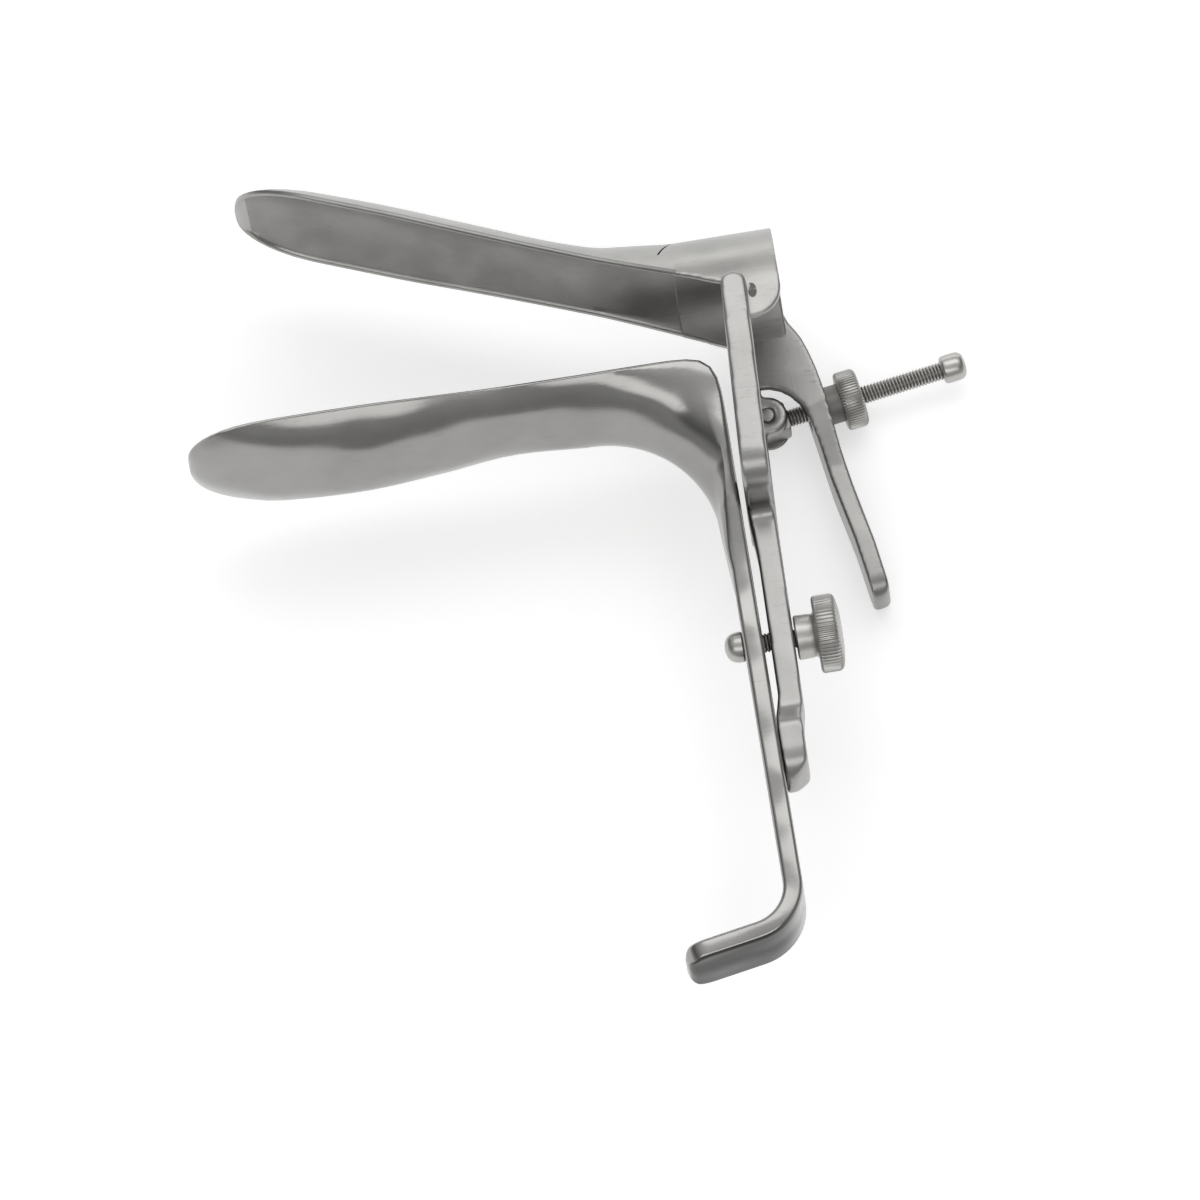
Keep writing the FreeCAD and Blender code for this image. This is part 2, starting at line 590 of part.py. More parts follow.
# Thumb lever: a plate welded to the far ear that turns into a deep strip for the thumb
def make_lever():
    body = body_named("thumb_lever")
    rear = "(sizes.nut_start - 3 * sizes.run_clear)"
    front = "(%s - sizes.lever_thick)" % rear
    plate = drawn(body, "plate_outline", "XY_Plane", (
        ("2.8", "6.4"),
        ("6.0", "5.2", "3"),
        (front, "-0.5", "3"),
        (front, "-sizes.lever_slot"),
        (rear, "-sizes.lever_slot"),
        (rear, "8.0", "4"),
        ("11.2", "14.5", "6"),
        ("9.6", "19.4", "2"),
        ("4.9", "19.4", "3")), (0, 0, "sizes.rod_level - sizes.hood_radius - sizes.lever_plate"))
    pad(body, plate, "ear_plate", "sizes.lever_plate")
    level = "(sizes.rod_level - sizes.hood_radius)"
    strip = drawn(body, "strip_outline", "XY_Plane", (
        (rear, "11.0"),
        (rear, "-20", "60"),
        (rear + " + 0.5", "-(sizes.lever_end - 12)", "20"),
        (rear + " + 0.3", "-(sizes.lever_end - 1)", "2.2"),
        (front + " + 0.2", "-sizes.lever_end", "1.2"),
        (front + " + 0.3", "-(sizes.lever_end - 14)", "20"),
        (front + " - 0.3", "-18", "40"),
        (front, "11.0")), (0, 0, level + " - sizes.lever_wide"))
    pad(body, strip, "thumb_strip", "sizes.lever_wide")
    far_side = "-(sizes.lever_wide - %s)" % level
    near_side = level
    trim = drawn(body, "strip_trim_outline", "YZ_Plane", (
        ("14", "%s - sizes.lever_plate" % level),
        ("12", "%s - sizes.lever_plate" % level, "2"),
        ("6.5", far_side, "3"),
        ("2", far_side + " - 4"),
        ("14", far_side + " - 4")))
    pocket_through(body, trim, "strip_trim")
    for name, edge, way in (("far", far_side, "-"), ("near", near_side, "")):
        corner = drawn(body, name + "_end_outline", "YZ_Plane", (
            ("-(sizes.lever_end - sizes.lever_wide * 0.45)", edge),
            ("-sizes.lever_end", edge, "sizes.lever_wide * 0.42"),
            ("-sizes.lever_end", "%s - %s(sizes.lever_wide * 0.45)" % (edge, way) if way == "" else
             "%s + sizes.lever_wide * 0.45" % edge),
            ("-(sizes.lever_end + 3)", "%s - sizes.lever_wide * 0.45" % edge if way == "" else
             "%s + sizes.lever_wide * 0.45" % edge),
            ("-(sizes.lever_end + 3)", "%s %s 3" % (edge, "+" if way == "" else "-")),
            ("-(sizes.lever_end - sizes.lever_wide * 0.45)", "%s %s 3" % (edge, "+" if way == "" else "-"))))
        pocket_through(body, corner, name + "_end_round")
    half_slot, half_wide = "(sizes.lever_slot / 2)", "(sizes.rod_radius + 0.3)"
    slot = drawn(body, "rod_slot_outline", "YZ_Plane", (
        ("-" + half_slot, "-" + half_wide, half_wide + " * 0.95"),
        ("-" + half_slot, half_wide, half_wide + " * 0.95"),
        (half_slot, half_wide, half_wide + " * 0.95"),
        (half_slot, "-" + half_wide, half_wide + " * 0.95")))
    pocket_through(body, slot, "rod_slot")
    return body


# Swivel block: turns on its pin at the far arm and holds the adjusting rod
def make_block():
    body = body_named("swivel_block")
    half = "(sizes.block_size / 2)"
    form = drawn(body, "block_outline", "XY_Plane", (
        ("-" + half, "-" + half, half + " * 0.6"),
        (half + " + 1", "-" + half, "0.8"),
        (half + " + 1", half, "0.8"),
        ("-" + half, half, half + " * 0.6")))
    pad(body, form, "block", "sizes.block_wide", both_ways=True)
    hole = circle_in(body, "pin_bore_outline", "XY_Plane", "0", "0",
                     "sizes.pin_radius + sizes.run_clear")
    pocket_through(body, hole, "pin_bore")
    socket = circle_in(body, "rod_socket_outline", "YZ_Plane", "0", "0",
                       "sizes.rod_radius", (0, 0, "sizes.pin_radius + 0.6"))
    feature = body.newObject("PartDesign::Pocket", "rod_socket")
    feature.Profile = (socket, [""])
    feature.Type = "ThroughAll"
    feature.Reversed = True
    return body


def make_swivel_pin():
    arm = "sizes.arm_inner"
    under_head = "(sizes.arm_inner + sizes.arm_thick + 4 * sizes.run_clear + sizes.block_wide)"
    return turned("swivel_pin", "XZ_Plane", "V_Axis", (
        ("0", "-" + arm),
        ("sizes.pin_radius", "-" + arm),
        ("sizes.pin_radius", "-" + under_head),
        ("sizes.pin_head", "-" + under_head),
        ("sizes.pin_head", "-(%s + sizes.pin_head_high * 0.5)" % under_head),
        ("sizes.pin_head * 0.8", "-(%s + sizes.pin_head_high)" % under_head),
        ("0", "-(%s + sizes.pin_head_high)" % under_head)))


def make_rod():
    seat = "(sizes.pin_radius + 0.6)"
    end = "(sizes.rod_long - sizes.stop_long * 0.3)"
    return turned("adjusting_rod", "XY_Plane", "H_Axis", (
        (seat, "0"),
        (end, "0"),
        (end, "sizes.rod_radius"),
        (seat, "sizes.rod_radius")))


def make_rod_stop():
    start, end = "(sizes.rod_long - sizes.stop_long)", "sizes.rod_long"
    return turned("rod_end_stop", "XY_Plane", "H_Axis", (
        (start, "sizes.rod_radius"),
        (start, "sizes.stop_radius - sizes.edge_break"),
        (start + " + sizes.edge_break", "sizes.stop_radius"),
        (end + " - 4 * sizes.edge_break", "sizes.stop_radius"),
        (end + " - sizes.edge_break", "sizes.stop_radius * 0.78"),
        (end, "sizes.stop_radius * 0.4"),
        (end, "0"),
        (end + " - sizes.stop_long * 0.3", "0"),
        (end + " - sizes.stop_long * 0.3", "sizes.rod_radius")))


def make_nut():
    bore = "(sizes.rod_radius + sizes.run_clear)"
    start = "sizes.nut_start"
    step = "(sizes.nut_start + sizes.nut_collar_long)"
    end = "(%s + sizes.nut_knurl_long)" % step
    return turned("adjusting_nut", "XY_Plane", "H_Axis", (
        (start, bore),
        (start, "sizes.nut_collar - sizes.edge_break"),
        (start + " + sizes.edge_break", "sizes.nut_collar"),
        (step, "sizes.nut_collar"),
        (step, "sizes.nut_knurl - sizes.edge_break"),
        (step + " + sizes.edge_break", "sizes.nut_knurl"),
        (end + " - 2 * sizes.edge_break", "sizes.nut_knurl"),
        (end, "sizes.nut_knurl - 2 * sizes.edge_break"),
        (end, bore)))


def make_clamp_screw():
    face = "(sizes.handle_back + sizes.handle_thick + sizes.run_clear)"
    tail = "(sizes.bar_thick - sizes.bar_front + sizes.knob_collar_long + sizes.knob_knurl_long)"
    return turned("clamp_screw", "XY_Plane", "H_Axis", (
        ("-(%s + sizes.clamp_head_high)" % face, "0"),
        ("-(%s + sizes.clamp_head_high)" % face, "sizes.clamp_head * 0.4"),
        ("-(%s + sizes.clamp_head_high * 0.85)" % face, "sizes.clamp_head * 0.75"),
        ("-(%s + sizes.clamp_head_high * 0.45)" % face, "sizes.clamp_head"),
        ("-" + face, "sizes.clamp_head"),
        ("-" + face, "sizes.clamp_radius"),
        (tail + " - 1.2", "sizes.clamp_radius"),
        (tail + " - 1.2", "0")))


def make_clamp_knob():
    start = "(sizes.bar_thick - sizes.bar_front + 3 * sizes.run_clear)"
    step = "(%s + sizes.knob_collar_long)" % start
    end = "(%s + sizes.knob_knurl_long)" % step
    bore = "(sizes.clamp_radius + sizes.run_clear)"
    return turned("clamp_knob", "XY_Plane", "H_Axis", (
        (start, bore),
        (start, "sizes.knob_collar - sizes.edge_break"),
        (start + " + sizes.edge_break", "sizes.knob_collar"),
        (step, "sizes.knob_collar - sizes.edge_break"),
        (step, "sizes.knob_knurl - sizes.edge_break"),
        (step + " + sizes.edge_break", "sizes.knob_knurl"),
        (end + " - 2 * sizes.edge_break", "sizes.knob_knurl"),
        (end, "sizes.knob_knurl - 2 * sizes.edge_break"),
        (end + " + sizes.edge_break", "sizes.knob_knurl * 0.55"),
        (end + " + sizes.edge_break", bore)))


def place(piece, base=("0", "0", "0"), angle=None):
    """Put a piece at its place in the hinge frame, plus the shift to the frame's origin."""
    piece.Placement.Rotation = FreeCAD.Rotation(Vector(0, 0, 1), size(angle) if angle else 0)
    for axis, item in zip("xyz", base):
        piece.setExpression(".Placement.Base." + axis, "%s + sizes.shift_%s" % (item, axis))
    if angle:
        piece.setExpression(".Placement.Rotation.Angle", angle)


# Cells worked out from the sizes: the arms' inner faces, the rod's level under the mid plane
# and the shift to the frame's origin
WORKED_OUT = {
    "arm_inner": "=hood_radius + side_gap",
    "rod_level": "=arm_inner + arm_thick + 2 * run_clear + block_wide / 2",
    "shift_x": "0", "shift_y": "0", "shift_z": "0",
}
cell_rows = {}
for row, (alias, content) in enumerate(WORKED_OUT.items(), start=len(SIZES) + 1):
    sheet.set("A%d" % row, alias.replace("_", " "))
    sheet.set("B%d" % row, content)
    sheet.setAlias("B%d" % row, alias)
    cell_rows[alias] = "B%d" % row
doc.recompute()

hinge = ("0", "0", "0")
swivel = ("sizes.swivel_out", "-sizes.swivel_down", "-sizes.rod_level")
swivel_hole = ("sizes.swivel_out", "-sizes.swivel_down", "0")
clamp = ("0", "-sizes.clamp_down", "0")
pieces = []
for maker, base, angle in (
        (make_upper_blade, hinge, "-sizes.blade_rise"),
        (make_hood, hinge, None),
        (make_lever, swivel, "sizes.rod_angle"),
        (make_lower_blade, hinge, None),
        (make_yoke, hinge, None),
        (lambda: make_rivet("near_hinge_rivet", ""), hinge, None),
        (lambda: make_rivet("far_hinge_rivet", "-"), hinge, None),
        (make_swivel_pin, swivel_hole, None),
        (make_block, swivel, "sizes.rod_angle"),
        (make_rod, swivel, "sizes.rod_angle"),
        (make_rod_stop, swivel, "sizes.rod_angle"),
        (make_nut, swivel, "sizes.rod_angle"),
        (make_clamp_screw, clamp, None),
        (make_clamp_knob, clamp, None)):
    piece = maker()
    place(piece, base, angle)
    pieces.append(piece)
    doc.recompute()
    print("%-18s volume %9.1f valid %s" % (piece.Label, piece.Shape.Volume, piece.Shape.isValid()))

# The frame's origin is the bottom centre of the whole instrument's box
whole = FreeCAD.BoundBox()
for piece in pieces:
    whole.add(piece.Shape.optimalBoundingBox(False, False))
shift = {"shift_x": -whole.Center.x, "shift_y": -whole.Center.y, "shift_z": -whole.ZMin}
for alias, value in shift.items():
    sheet.set(cell_rows[alias], str(round(value, 4)))
doc.recompute()

failed = [item.Name for item in doc.Objects if "Invalid" in item.State or "Error" in item.State]
for piece in pieces:
    if piece.Shape.isNull() or not piece.Shape.isValid() or len(piece.Shape.Solids) != 1:
        failed.append(piece.Label)
if failed:
    raise RuntimeError("these did not build: " + ", ".join(failed))

os.makedirs("parts", exist_ok=True)
for piece in pieces:
    piece.Shape.exportStep("parts/%s.step" % piece.Label)
print("hinge axis at", [round(shift[key], 4) for key in ("shift_x", "shift_y", "shift_z")])
print("box", [round(edge, 2) for edge in (whole.XLength, whole.YLength, whole.ZLength)])
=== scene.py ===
"""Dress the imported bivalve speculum: its forged, turned and knurled steel pieces, and the studio."""
import json
import logging
import math
from collections.abc import Sequence
from dataclasses import dataclass, field, replace
from enum import Enum

import bpy
from mathutils import Matrix, Vector


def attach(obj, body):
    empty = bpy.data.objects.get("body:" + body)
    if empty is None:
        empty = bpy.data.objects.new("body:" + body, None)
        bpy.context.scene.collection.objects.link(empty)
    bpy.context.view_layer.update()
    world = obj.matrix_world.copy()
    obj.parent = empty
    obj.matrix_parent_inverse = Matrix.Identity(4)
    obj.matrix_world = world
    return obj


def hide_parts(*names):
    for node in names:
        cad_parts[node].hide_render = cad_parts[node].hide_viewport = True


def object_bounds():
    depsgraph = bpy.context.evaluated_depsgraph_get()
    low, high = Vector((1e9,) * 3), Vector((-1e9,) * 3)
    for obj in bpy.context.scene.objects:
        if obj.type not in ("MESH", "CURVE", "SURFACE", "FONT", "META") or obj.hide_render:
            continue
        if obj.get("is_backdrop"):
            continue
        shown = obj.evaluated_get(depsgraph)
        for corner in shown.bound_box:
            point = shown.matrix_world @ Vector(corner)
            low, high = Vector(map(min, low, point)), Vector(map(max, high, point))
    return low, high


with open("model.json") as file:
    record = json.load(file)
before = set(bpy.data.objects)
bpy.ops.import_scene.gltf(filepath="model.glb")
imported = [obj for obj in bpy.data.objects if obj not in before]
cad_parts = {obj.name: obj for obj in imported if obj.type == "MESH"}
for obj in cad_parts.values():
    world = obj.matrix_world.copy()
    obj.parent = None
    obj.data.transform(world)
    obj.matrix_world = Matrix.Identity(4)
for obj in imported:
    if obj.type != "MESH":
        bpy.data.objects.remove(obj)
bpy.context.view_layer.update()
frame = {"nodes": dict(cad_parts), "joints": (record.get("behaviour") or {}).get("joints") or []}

LOG = logging.getLogger("speculum")
MM = 0.001
SAME_POINT = MM * 0.001
JOINTS = {joint["name"]: joint for joint in frame["joints"]}
HINGE = Vector(JOINTS["blade_hinge"]["pos_m"])
SWIVEL = Vector(JOINTS["rod_swivel"]["pos_m"])
CLAMP = Vector(JOINTS["knob_turn"]["pos_m"])
ROD_AXIS = Vector(JOINTS["nut_travel"]["axis"])
BLADE_RISE = math.radians(JOINTS["blade_hinge"]["range_deg"][1])


@dataclass(frozen=True)
class Place:
    """A local frame in millimetres, with its origin in the row frame and a turn about +Z."""

    origin: Vector
    turn: float = 0.0

    @property
    def matrix(self) -> Matrix:
        """The frame as a matrix from local metres to the row frame."""
        return Matrix.Translation(self.origin) @ Matrix.Rotation(self.turn, 4, "Z")

    def at(self, x: float, y: float, z: float) -> Vector:
        """A point of this frame, given in millimetres, in the row frame."""
        return self.matrix @ (Vector((x, y, z)) * MM)


AT_HINGE = Place(HINGE)
AT_SWIVEL = Place(SWIVEL, math.atan2(ROD_AXIS.y, ROD_AXIS.x))
AT_CLAMP = Place(Vector((HINGE.x, CLAMP.y, HINGE.z)))


class Smooth:
    """A smooth curve through (place, value) knots that never overshoots them."""

    def __init__(self, *knots: tuple[float, float]) -> None:
        """Work out the slope at each knot.

        Args:
            knots: The places and values, in order of place.
        """
        self.places = [knot[0] for knot in knots]
        self.values = [knot[1] for knot in knots]
        rises = [(self.values[i + 1] - self.values[i]) / (self.places[i + 1] - self.places[i])
                 for i in range(len(knots) - 1)]
        self.slopes = [rises[0]]
        for before, after in zip(rises, rises[1:]):
            same_way = before * after > 0
            self.slopes.append(2 * before * after / (before + after) if same_way else 0.0)
        self.slopes.append(rises[-1])

    def __call__(self, place: float) -> float:
        """Read the curve.

        Args:
            place: Where to read it.

        Returns:
            The curve's value there, held level outside the knots.
        """
        if place <= self.places[0]:
            return self.values[0]
        if place >= self.places[-1]:
            return self.values[-1]
        index = max(i for i, start in enumerate(self.places[:-1]) if start <= place)
        span = self.places[index + 1] - self.places[index]
        t = (place - self.places[index]) / span
        start, end = self.values[index], self.values[index + 1]
        slope_in, slope_out = self.slopes[index] * span, self.slopes[index + 1] * span
        return ((2 * t ** 3 - 3 * t ** 2 + 1) * start + (t ** 3 - 2 * t ** 2 + t) * slope_in
                + (3 * t ** 2 - 2 * t ** 3) * end + (t ** 3 - t ** 2) * slope_out)


def ease(value: float, start: float, end: float) -> float:
    """A soft step from 0 at start to 1 at end."""
    share = min(max((value - start) / (end - start), 0.0), 1.0)
    return share * share * (3 - 2 * share)


class Bench:
    """The hand operations that every piece is made with."""

    @staticmethod
    def clear() -> None:
        """Leave edit mode and deselect everything."""
        if bpy.context.object and bpy.context.object.mode != "OBJECT":
            bpy.ops.object.mode_set(mode="OBJECT")
        bpy.ops.object.select_all(action="DESELECT")

    @classmethod
    def take(cls, piece: bpy.types.Object) -> None:
        """Select one piece alone and make it active.

        Args:
            piece: The piece.
        """
        cls.clear()
        piece.select_set(True)
        bpy.context.view_layer.objects.active = piece

    @classmethod
    def edit(cls, piece: bpy.types.Object) -> None:
        """Open one piece in edit mode with all of it selected.

        Args:
            piece: The piece.
        """
        cls.take(piece)
        bpy.ops.object.mode_set(mode="EDIT")
        bpy.ops.mesh.select_all(action="SELECT")

    @staticmethod
    def added(name: str) -> bpy.types.Object:
        """Name the primitive that was just added, and its mesh.

        Args:
            name: The new name.

        Returns:
            The primitive.
        """
        piece = bpy.context.active_object
        piece.name = piece.data.name = name
        return piece

    @staticmethod
    def node_copy(name: str, node: str) -> bpy.types.Object:
        """Copy a frame node with its own mesh.

        Args:
            name: The copy's name.
            node: The node to copy.

        Returns:
            The copy.
        """
        piece = bpy.data.objects.new(name, frame["nodes"][node].data.copy())
        bpy.context.scene.collection.objects.link(piece)
        return piece

    @classmethod
    def apply(cls, piece: bpy.types.Object, kind: str, **settings: object) -> None:
        """Add a modifier with its settings and apply it.

        Args:
            piece: The piece to change.
            kind: The modifier's type.
            settings: The modifier's properties.
        """
        cls.take(piece)
        modifier = piece.modifiers.new(kind.title(), kind)
        for key, value in settings.items():
            setattr(modifier, key, value)
        bpy.ops.object.modifier_apply(modifier=modifier.name)

    @classmethod
    def cut(cls, piece: bpy.types.Object, cutter: bpy.types.Object) -> None:
        """Cut one piece away from another and clear it off the bench."""
        cls.apply(piece, "BOOLEAN", object=cutter, operation="DIFFERENCE", solver="EXACT")
        bpy.data.objects.remove(cutter)

    @classmethod
    def smooth(cls, piece: bpy.types.Object, degrees: float) -> None:
        """Shade a piece smooth except over edges sharper than an angle."""
        cls.take(piece)
        bpy.ops.object.shade_smooth_by_angle(angle=math.radians(degrees))

    @classmethod
    def close_skin(cls, piece: bpy.types.Object) -> None:
        """Merge a skin's seam, cap its open ends and turn its faces outwards.

        Args:
            piece: The open skin.
        """
        cls.edit(piece)
        bpy.ops.mesh.remove_doubles(threshold=SAME_POINT)
        bpy.ops.mesh.fill_holes(sides=0)
        bpy.ops.mesh.select_all(action="SELECT")
        bpy.ops.mesh.normals_make_consistent(inside=False)
        bpy.ops.object.mode_set(mode="OBJECT")

    @classmethod
    def skin(cls, name: str, rings: Sequence[Sequence[Vector]]) -> bpy.types.Object:
        """Shape a grid into a closed skin through rings of points.

        Args:
            name: The new piece's name.
            rings: Rings with the same number of points each, in the row frame.

        Returns:
            The closed piece.
        """
        cls.clear()
        around = len(rings[0]) + 1
        bpy.ops.mesh.primitive_grid_add(x_subdivisions=around - 1, y_subdivisions=len(rings) - 1, size=1)
        piece = cls.added(name)
        for row, ring in enumerate(rings):
            for column in range(around):
                piece.data.vertices[row * around + column].co = ring[column % len(ring)]
        cls.close_skin(piece)
        return piece

    @classmethod
    def turned(cls, name: str, place: Place, profile: Sequence[tuple[float, float]],
               steps: int) -> bpy.types.Object:
        """Turn a piece as on a lathe, about its place's own x axis.

        Args:
            name: The new piece's name.
            place: The frame whose x axis is the lathe's.
            profile: (along, radius) corners in millimetres, from one end to the other.
            steps: How many flats make a full turn.

        Returns:
            The closed piece.
        """
        cls.clear()
        bpy.ops.mesh.primitive_plane_add(size=MM)
        piece = cls.added(name)
        bpy.ops.object.mode_set(mode="EDIT")
        bpy.ops.mesh.select_mode(type="VERT")
        bpy.ops.mesh.select_all(action="SELECT")
        bpy.ops.mesh.merge(type="CENTER")
        bpy.ops.transform.translate(value=(profile[0][0] * MM, 0, profile[0][1] * MM))
        for before, after in zip(profile, profile[1:]):
            step = ((after[0] - before[0]) * MM, 0, (after[1] - before[1]) * MM)
            bpy.ops.mesh.extrude_vertices_move(TRANSFORM_OT_translate={"value": step})
        bpy.ops.mesh.select_all(action="SELECT")
        bpy.ops.mesh.spin(steps=steps, angle=math.tau, center=(0, 0, 0), axis=(1, 0, 0))
        bpy.ops.object.mode_set(mode="OBJECT")
        cls.close_skin(piece)
        piece.data.transform(place.matrix)
        return piece

    @classmethod
    def finished_copy(cls, name: str, node: str, edge: float, segments: int = 3) -> bpy.types.Object:
        """Copy a frame node, clean its faces and round its edges.

        Args:
            name: The new piece's name.
            node: The node to copy.
            edge: The rounding's width in millimetres.
            segments: How many steps the rounding has.

        Returns:
            The finished piece, which stands for the node.
        """
        piece = cls.node_copy(name, node)
        cls.edit(piece)
        bpy.ops.mesh.remove_doubles(threshold=MM * 0.002)
        bpy.ops.mesh.dissolve_limited(angle_limit=math.radians(0.5))
        bpy.ops.object.mode_set(mode="OBJECT")
        cls.apply(piece, "BEVEL", width=edge * MM, segments=segments, limit_method="ANGLE",
                  angle_limit=math.radians(30), use_clamp_overlap=True)
        cls.smooth(piece, 40)
        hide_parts(node)
        return piece


class Forge:
    """Copies of frame nodes whose edges and joints are melted round, as forging and polishing leave them."""

    @staticmethod
    def block(centre: Vector, size: tuple[float, float, float],
              turn: tuple[float, float, float] = (0, 0, 0)) -> bpy.types.Object:
        """Make a block to cut with or to take in.

        Args:
            centre: The block's middle in the row frame.
            size: Its edges in millimetres.
            turn: Its turns about x, y and z in degrees.

        Returns:
            The block.
        """
        Bench.clear()
        bpy.ops.mesh.primitive_cube_add(size=1, location=centre, rotation=[math.radians(a) for a in turn],
                                        scale=[edge * MM for edge in size])
        bpy.ops.object.transform_apply(location=True, rotation=True, scale=True)
        return bpy.context.active_object

    @classmethod
    def melt(cls, name: str, nodes: Sequence[str], voxel: float, rounds: int,
             cuts: Sequence[bpy.types.Object] = (),
             adds: Sequence[bpy.types.Object] = ()) -> bpy.types.Object:
        """Copy nodes into one skin and melt its edges.

        Args:
            name: The new piece's name.
            nodes: The nodes whose forms are taken in.
            voxel: The skin's grain in millimetres.
            rounds: How many times the edges are smoothed.
            cuts: Pieces to cut away first; they are used up.
            adds: Pieces to take in; they are used up.

        Returns:
            The finished piece.
        """
        piece = Bench.node_copy(name, nodes[0])
        others = [*adds, *(Bench.node_copy(f"{name}_{node}", node) for node in nodes[1:])]
        Bench.take(piece)
        for other in others:
            other.select_set(True)
        if others:
            bpy.ops.object.join()
        Bench.edit(piece)
        bpy.ops.mesh.remove_doubles(threshold=SAME_POINT)
        bpy.ops.object.mode_set(mode="OBJECT")
        Bench.apply(piece, "REMESH", mode="VOXEL", voxel_size=voxel * MM)
        for cutter in cuts:
            Bench.cut(piece, cutter)
        if cuts:
            Bench.apply(piece, "REMESH", mode="VOXEL", voxel_size=voxel * MM)
        Bench.apply(piece, "SMOOTH", factor=0.5, iterations=rounds)
        Bench.smooth(piece, 60)
        return piece


class Socket:
    """A number in a shader, with Python's arithmetic: each operator adds its Math node."""

    def __init__(self, graph: "Graph", socket: bpy.types.NodeSocket) -> None:
        """Wrap one output socket of a graph."""
        self.graph = graph
        self.socket = socket

    def _math(self, operation: str, first: object, second: object) -> "Socket":
        """Add one Math node and wrap its output."""
        node = self.graph.node("ShaderNodeMath", {"operation": operation}, {0: first, 1: second})
        return Socket(self.graph, node.outputs[0])

    def __add__(self, other: object) -> "Socket":
        """This plus another."""
        return self._math("ADD", self, other)

    def __sub__(self, other: object) -> "Socket":
        """This minus another."""
        return self._math("SUBTRACT", self, other)

    def __rsub__(self, other: object) -> "Socket":
        """Another minus this."""
        return self._math("SUBTRACT", other, self)

    def __mul__(self, other: object) -> "Socket":
        """This times another."""
        return self._math("MULTIPLY", self, other)

    def clamped(self, low: float, high: float) -> "Socket":
        """Turn this into a soft mask.

        Args:
            low: Where the mask is 0.
            high: Where it is 1.

        Returns:
            The mask, held between 0 and 1.
        """
        node = self.graph.node("ShaderNodeMapRange", {"interpolation_type": "SMOOTHSTEP"},
                               {"Value": self, "From Min": low, "From Max": high})
        return Socket(self.graph, node.outputs["Result"])

    __radd__ = __add__
    __rmul__ = __mul__


class Graph:
    """The node tree of a material or of the world, built from plain calls."""

    def __init__(self, owner: bpy.types.Material | bpy.types.World) -> None:
        """Start with an empty tree.

        Args:
            owner: The material or world.
        """
        owner.use_nodes = True
        self.owner = owner
        self.tree = owner.node_tree
        self.tree.nodes.clear()

    def node(self, kind: str, settings: dict[str, object], inputs: dict[object, object]) -> bpy.types.Node:
        """Add a node.

        Args:
            kind: The node's type.
            settings: Its properties, or a colour ramp's stops, set first.
            inputs: Values or links for its sockets, by name or number.

        Returns:
            The node.
        """
        node = self.tree.nodes.new(kind)
        for key, value in settings.items():
            if key == "stops":
                self._set_stops(node.color_ramp.elements, value)
            else:
                setattr(node, key, value)
        for key, value in inputs.items():
            source = value.socket if isinstance(value, Socket) else value
            if isinstance(source, bpy.types.NodeSocket):
                self.tree.links.new(source, node.inputs[key])
            else:
                node.inputs[key].default_value = source
        return node

    @staticmethod
    def _set_stops(elements: bpy.types.ColorRampElements, stops: Sequence[tuple[float, float]]) -> None:
        """Set a ramp's stops.

        Args:
            elements: The ramp's own stops, of which a new ramp has two.
            stops: (place, grey level) pairs in order of place.
        """
        for index, (place, level) in enumerate(stops):
            stop = elements[index] if index < 2 else elements.new(place)
            stop.position = place
            stop.color = (level, level, level, 1)

    def coordinates(self, place: Place | None) -> bpy.types.NodeSocket:
        """Find where on its piece a point lies.

        Args:
            place: A frame to centre and turn the coordinates to, if any.

        Returns:
            The Object coordinates.
        """
        source = self.node("ShaderNodeTexCoord", {}, {}).outputs["Object"]
        if place is None:
            return source
        mapping = self.node("ShaderNodeMapping", {"vector_type": "TEXTURE"},
                            {"Vector": source, "Location": place.origin, "Rotation": (0, 0, place.turn)})
        return mapping.outputs["Vector"]

    def grain(self, source: bpy.types.NodeSocket, stretch: tuple[float, float, float], detail: float,
              roughness: float = 0.5) -> Socket:
        """Add a noise.

        Args:
            source: The coordinates to read.
            stretch: Features per metre along each axis.
            detail: How many finer layers it has.
            roughness: How strong those are.

        Returns:
            The noise, between 0 and 1.
        """
        mapping = self.node("ShaderNodeMapping", {}, {"Vector": source, "Scale": stretch})
        noise = self.node("ShaderNodeTexNoise", {},
                          {"Vector": mapping.outputs["Vector"], "Scale": 1.0, "Detail": detail,
                           "Roughness": roughness})
        return Socket(self, noise.outputs["Fac"])

    def axes(self, source: bpy.types.NodeSocket) -> tuple[Socket, Socket, Socket]:
        """Take a vector apart into x, y and z."""
        parts = self.node("ShaderNodeSeparateXYZ", {}, {"Vector": source})
        return tuple(Socket(self, parts.outputs[axis]) for axis in "XYZ")

    def blend(self, factor: Socket, first: object, second: object) -> bpy.types.NodeSocket:
        """Mix two colours by a number."""
        node = self.node("ShaderNodeMix", {"data_type": "RGBA"}, {0: factor, 6: first, 7: second})
        return node.outputs[2]


class Brushing(Enum):
    """Which way the fine polishing lines run, as features per metre along x, y and z."""

    ALONG_BLADE = (70.0, 4200.0, 3600.0)
    ALONG_HANDLE = (3800.0, 90.0, 3400.0)
    ROUND_THE_AXIS = (5200.0, 160.0, 160.0)
    NONE = (900.0, 900.0, 900.0)


CLOUD_GRAIN = (85.0, 85.0, 85.0)
SPOT_GRAIN = (900.0, 900.0, 900.0)
SCRATCH_GRAIN = (260.0, 1900.0, 1500.0)
SWELL_GRAIN = (38.0, 60.0, 60.0)
LINE_DEPTH = 0.0002
SWELL_DEPTH = 0.004


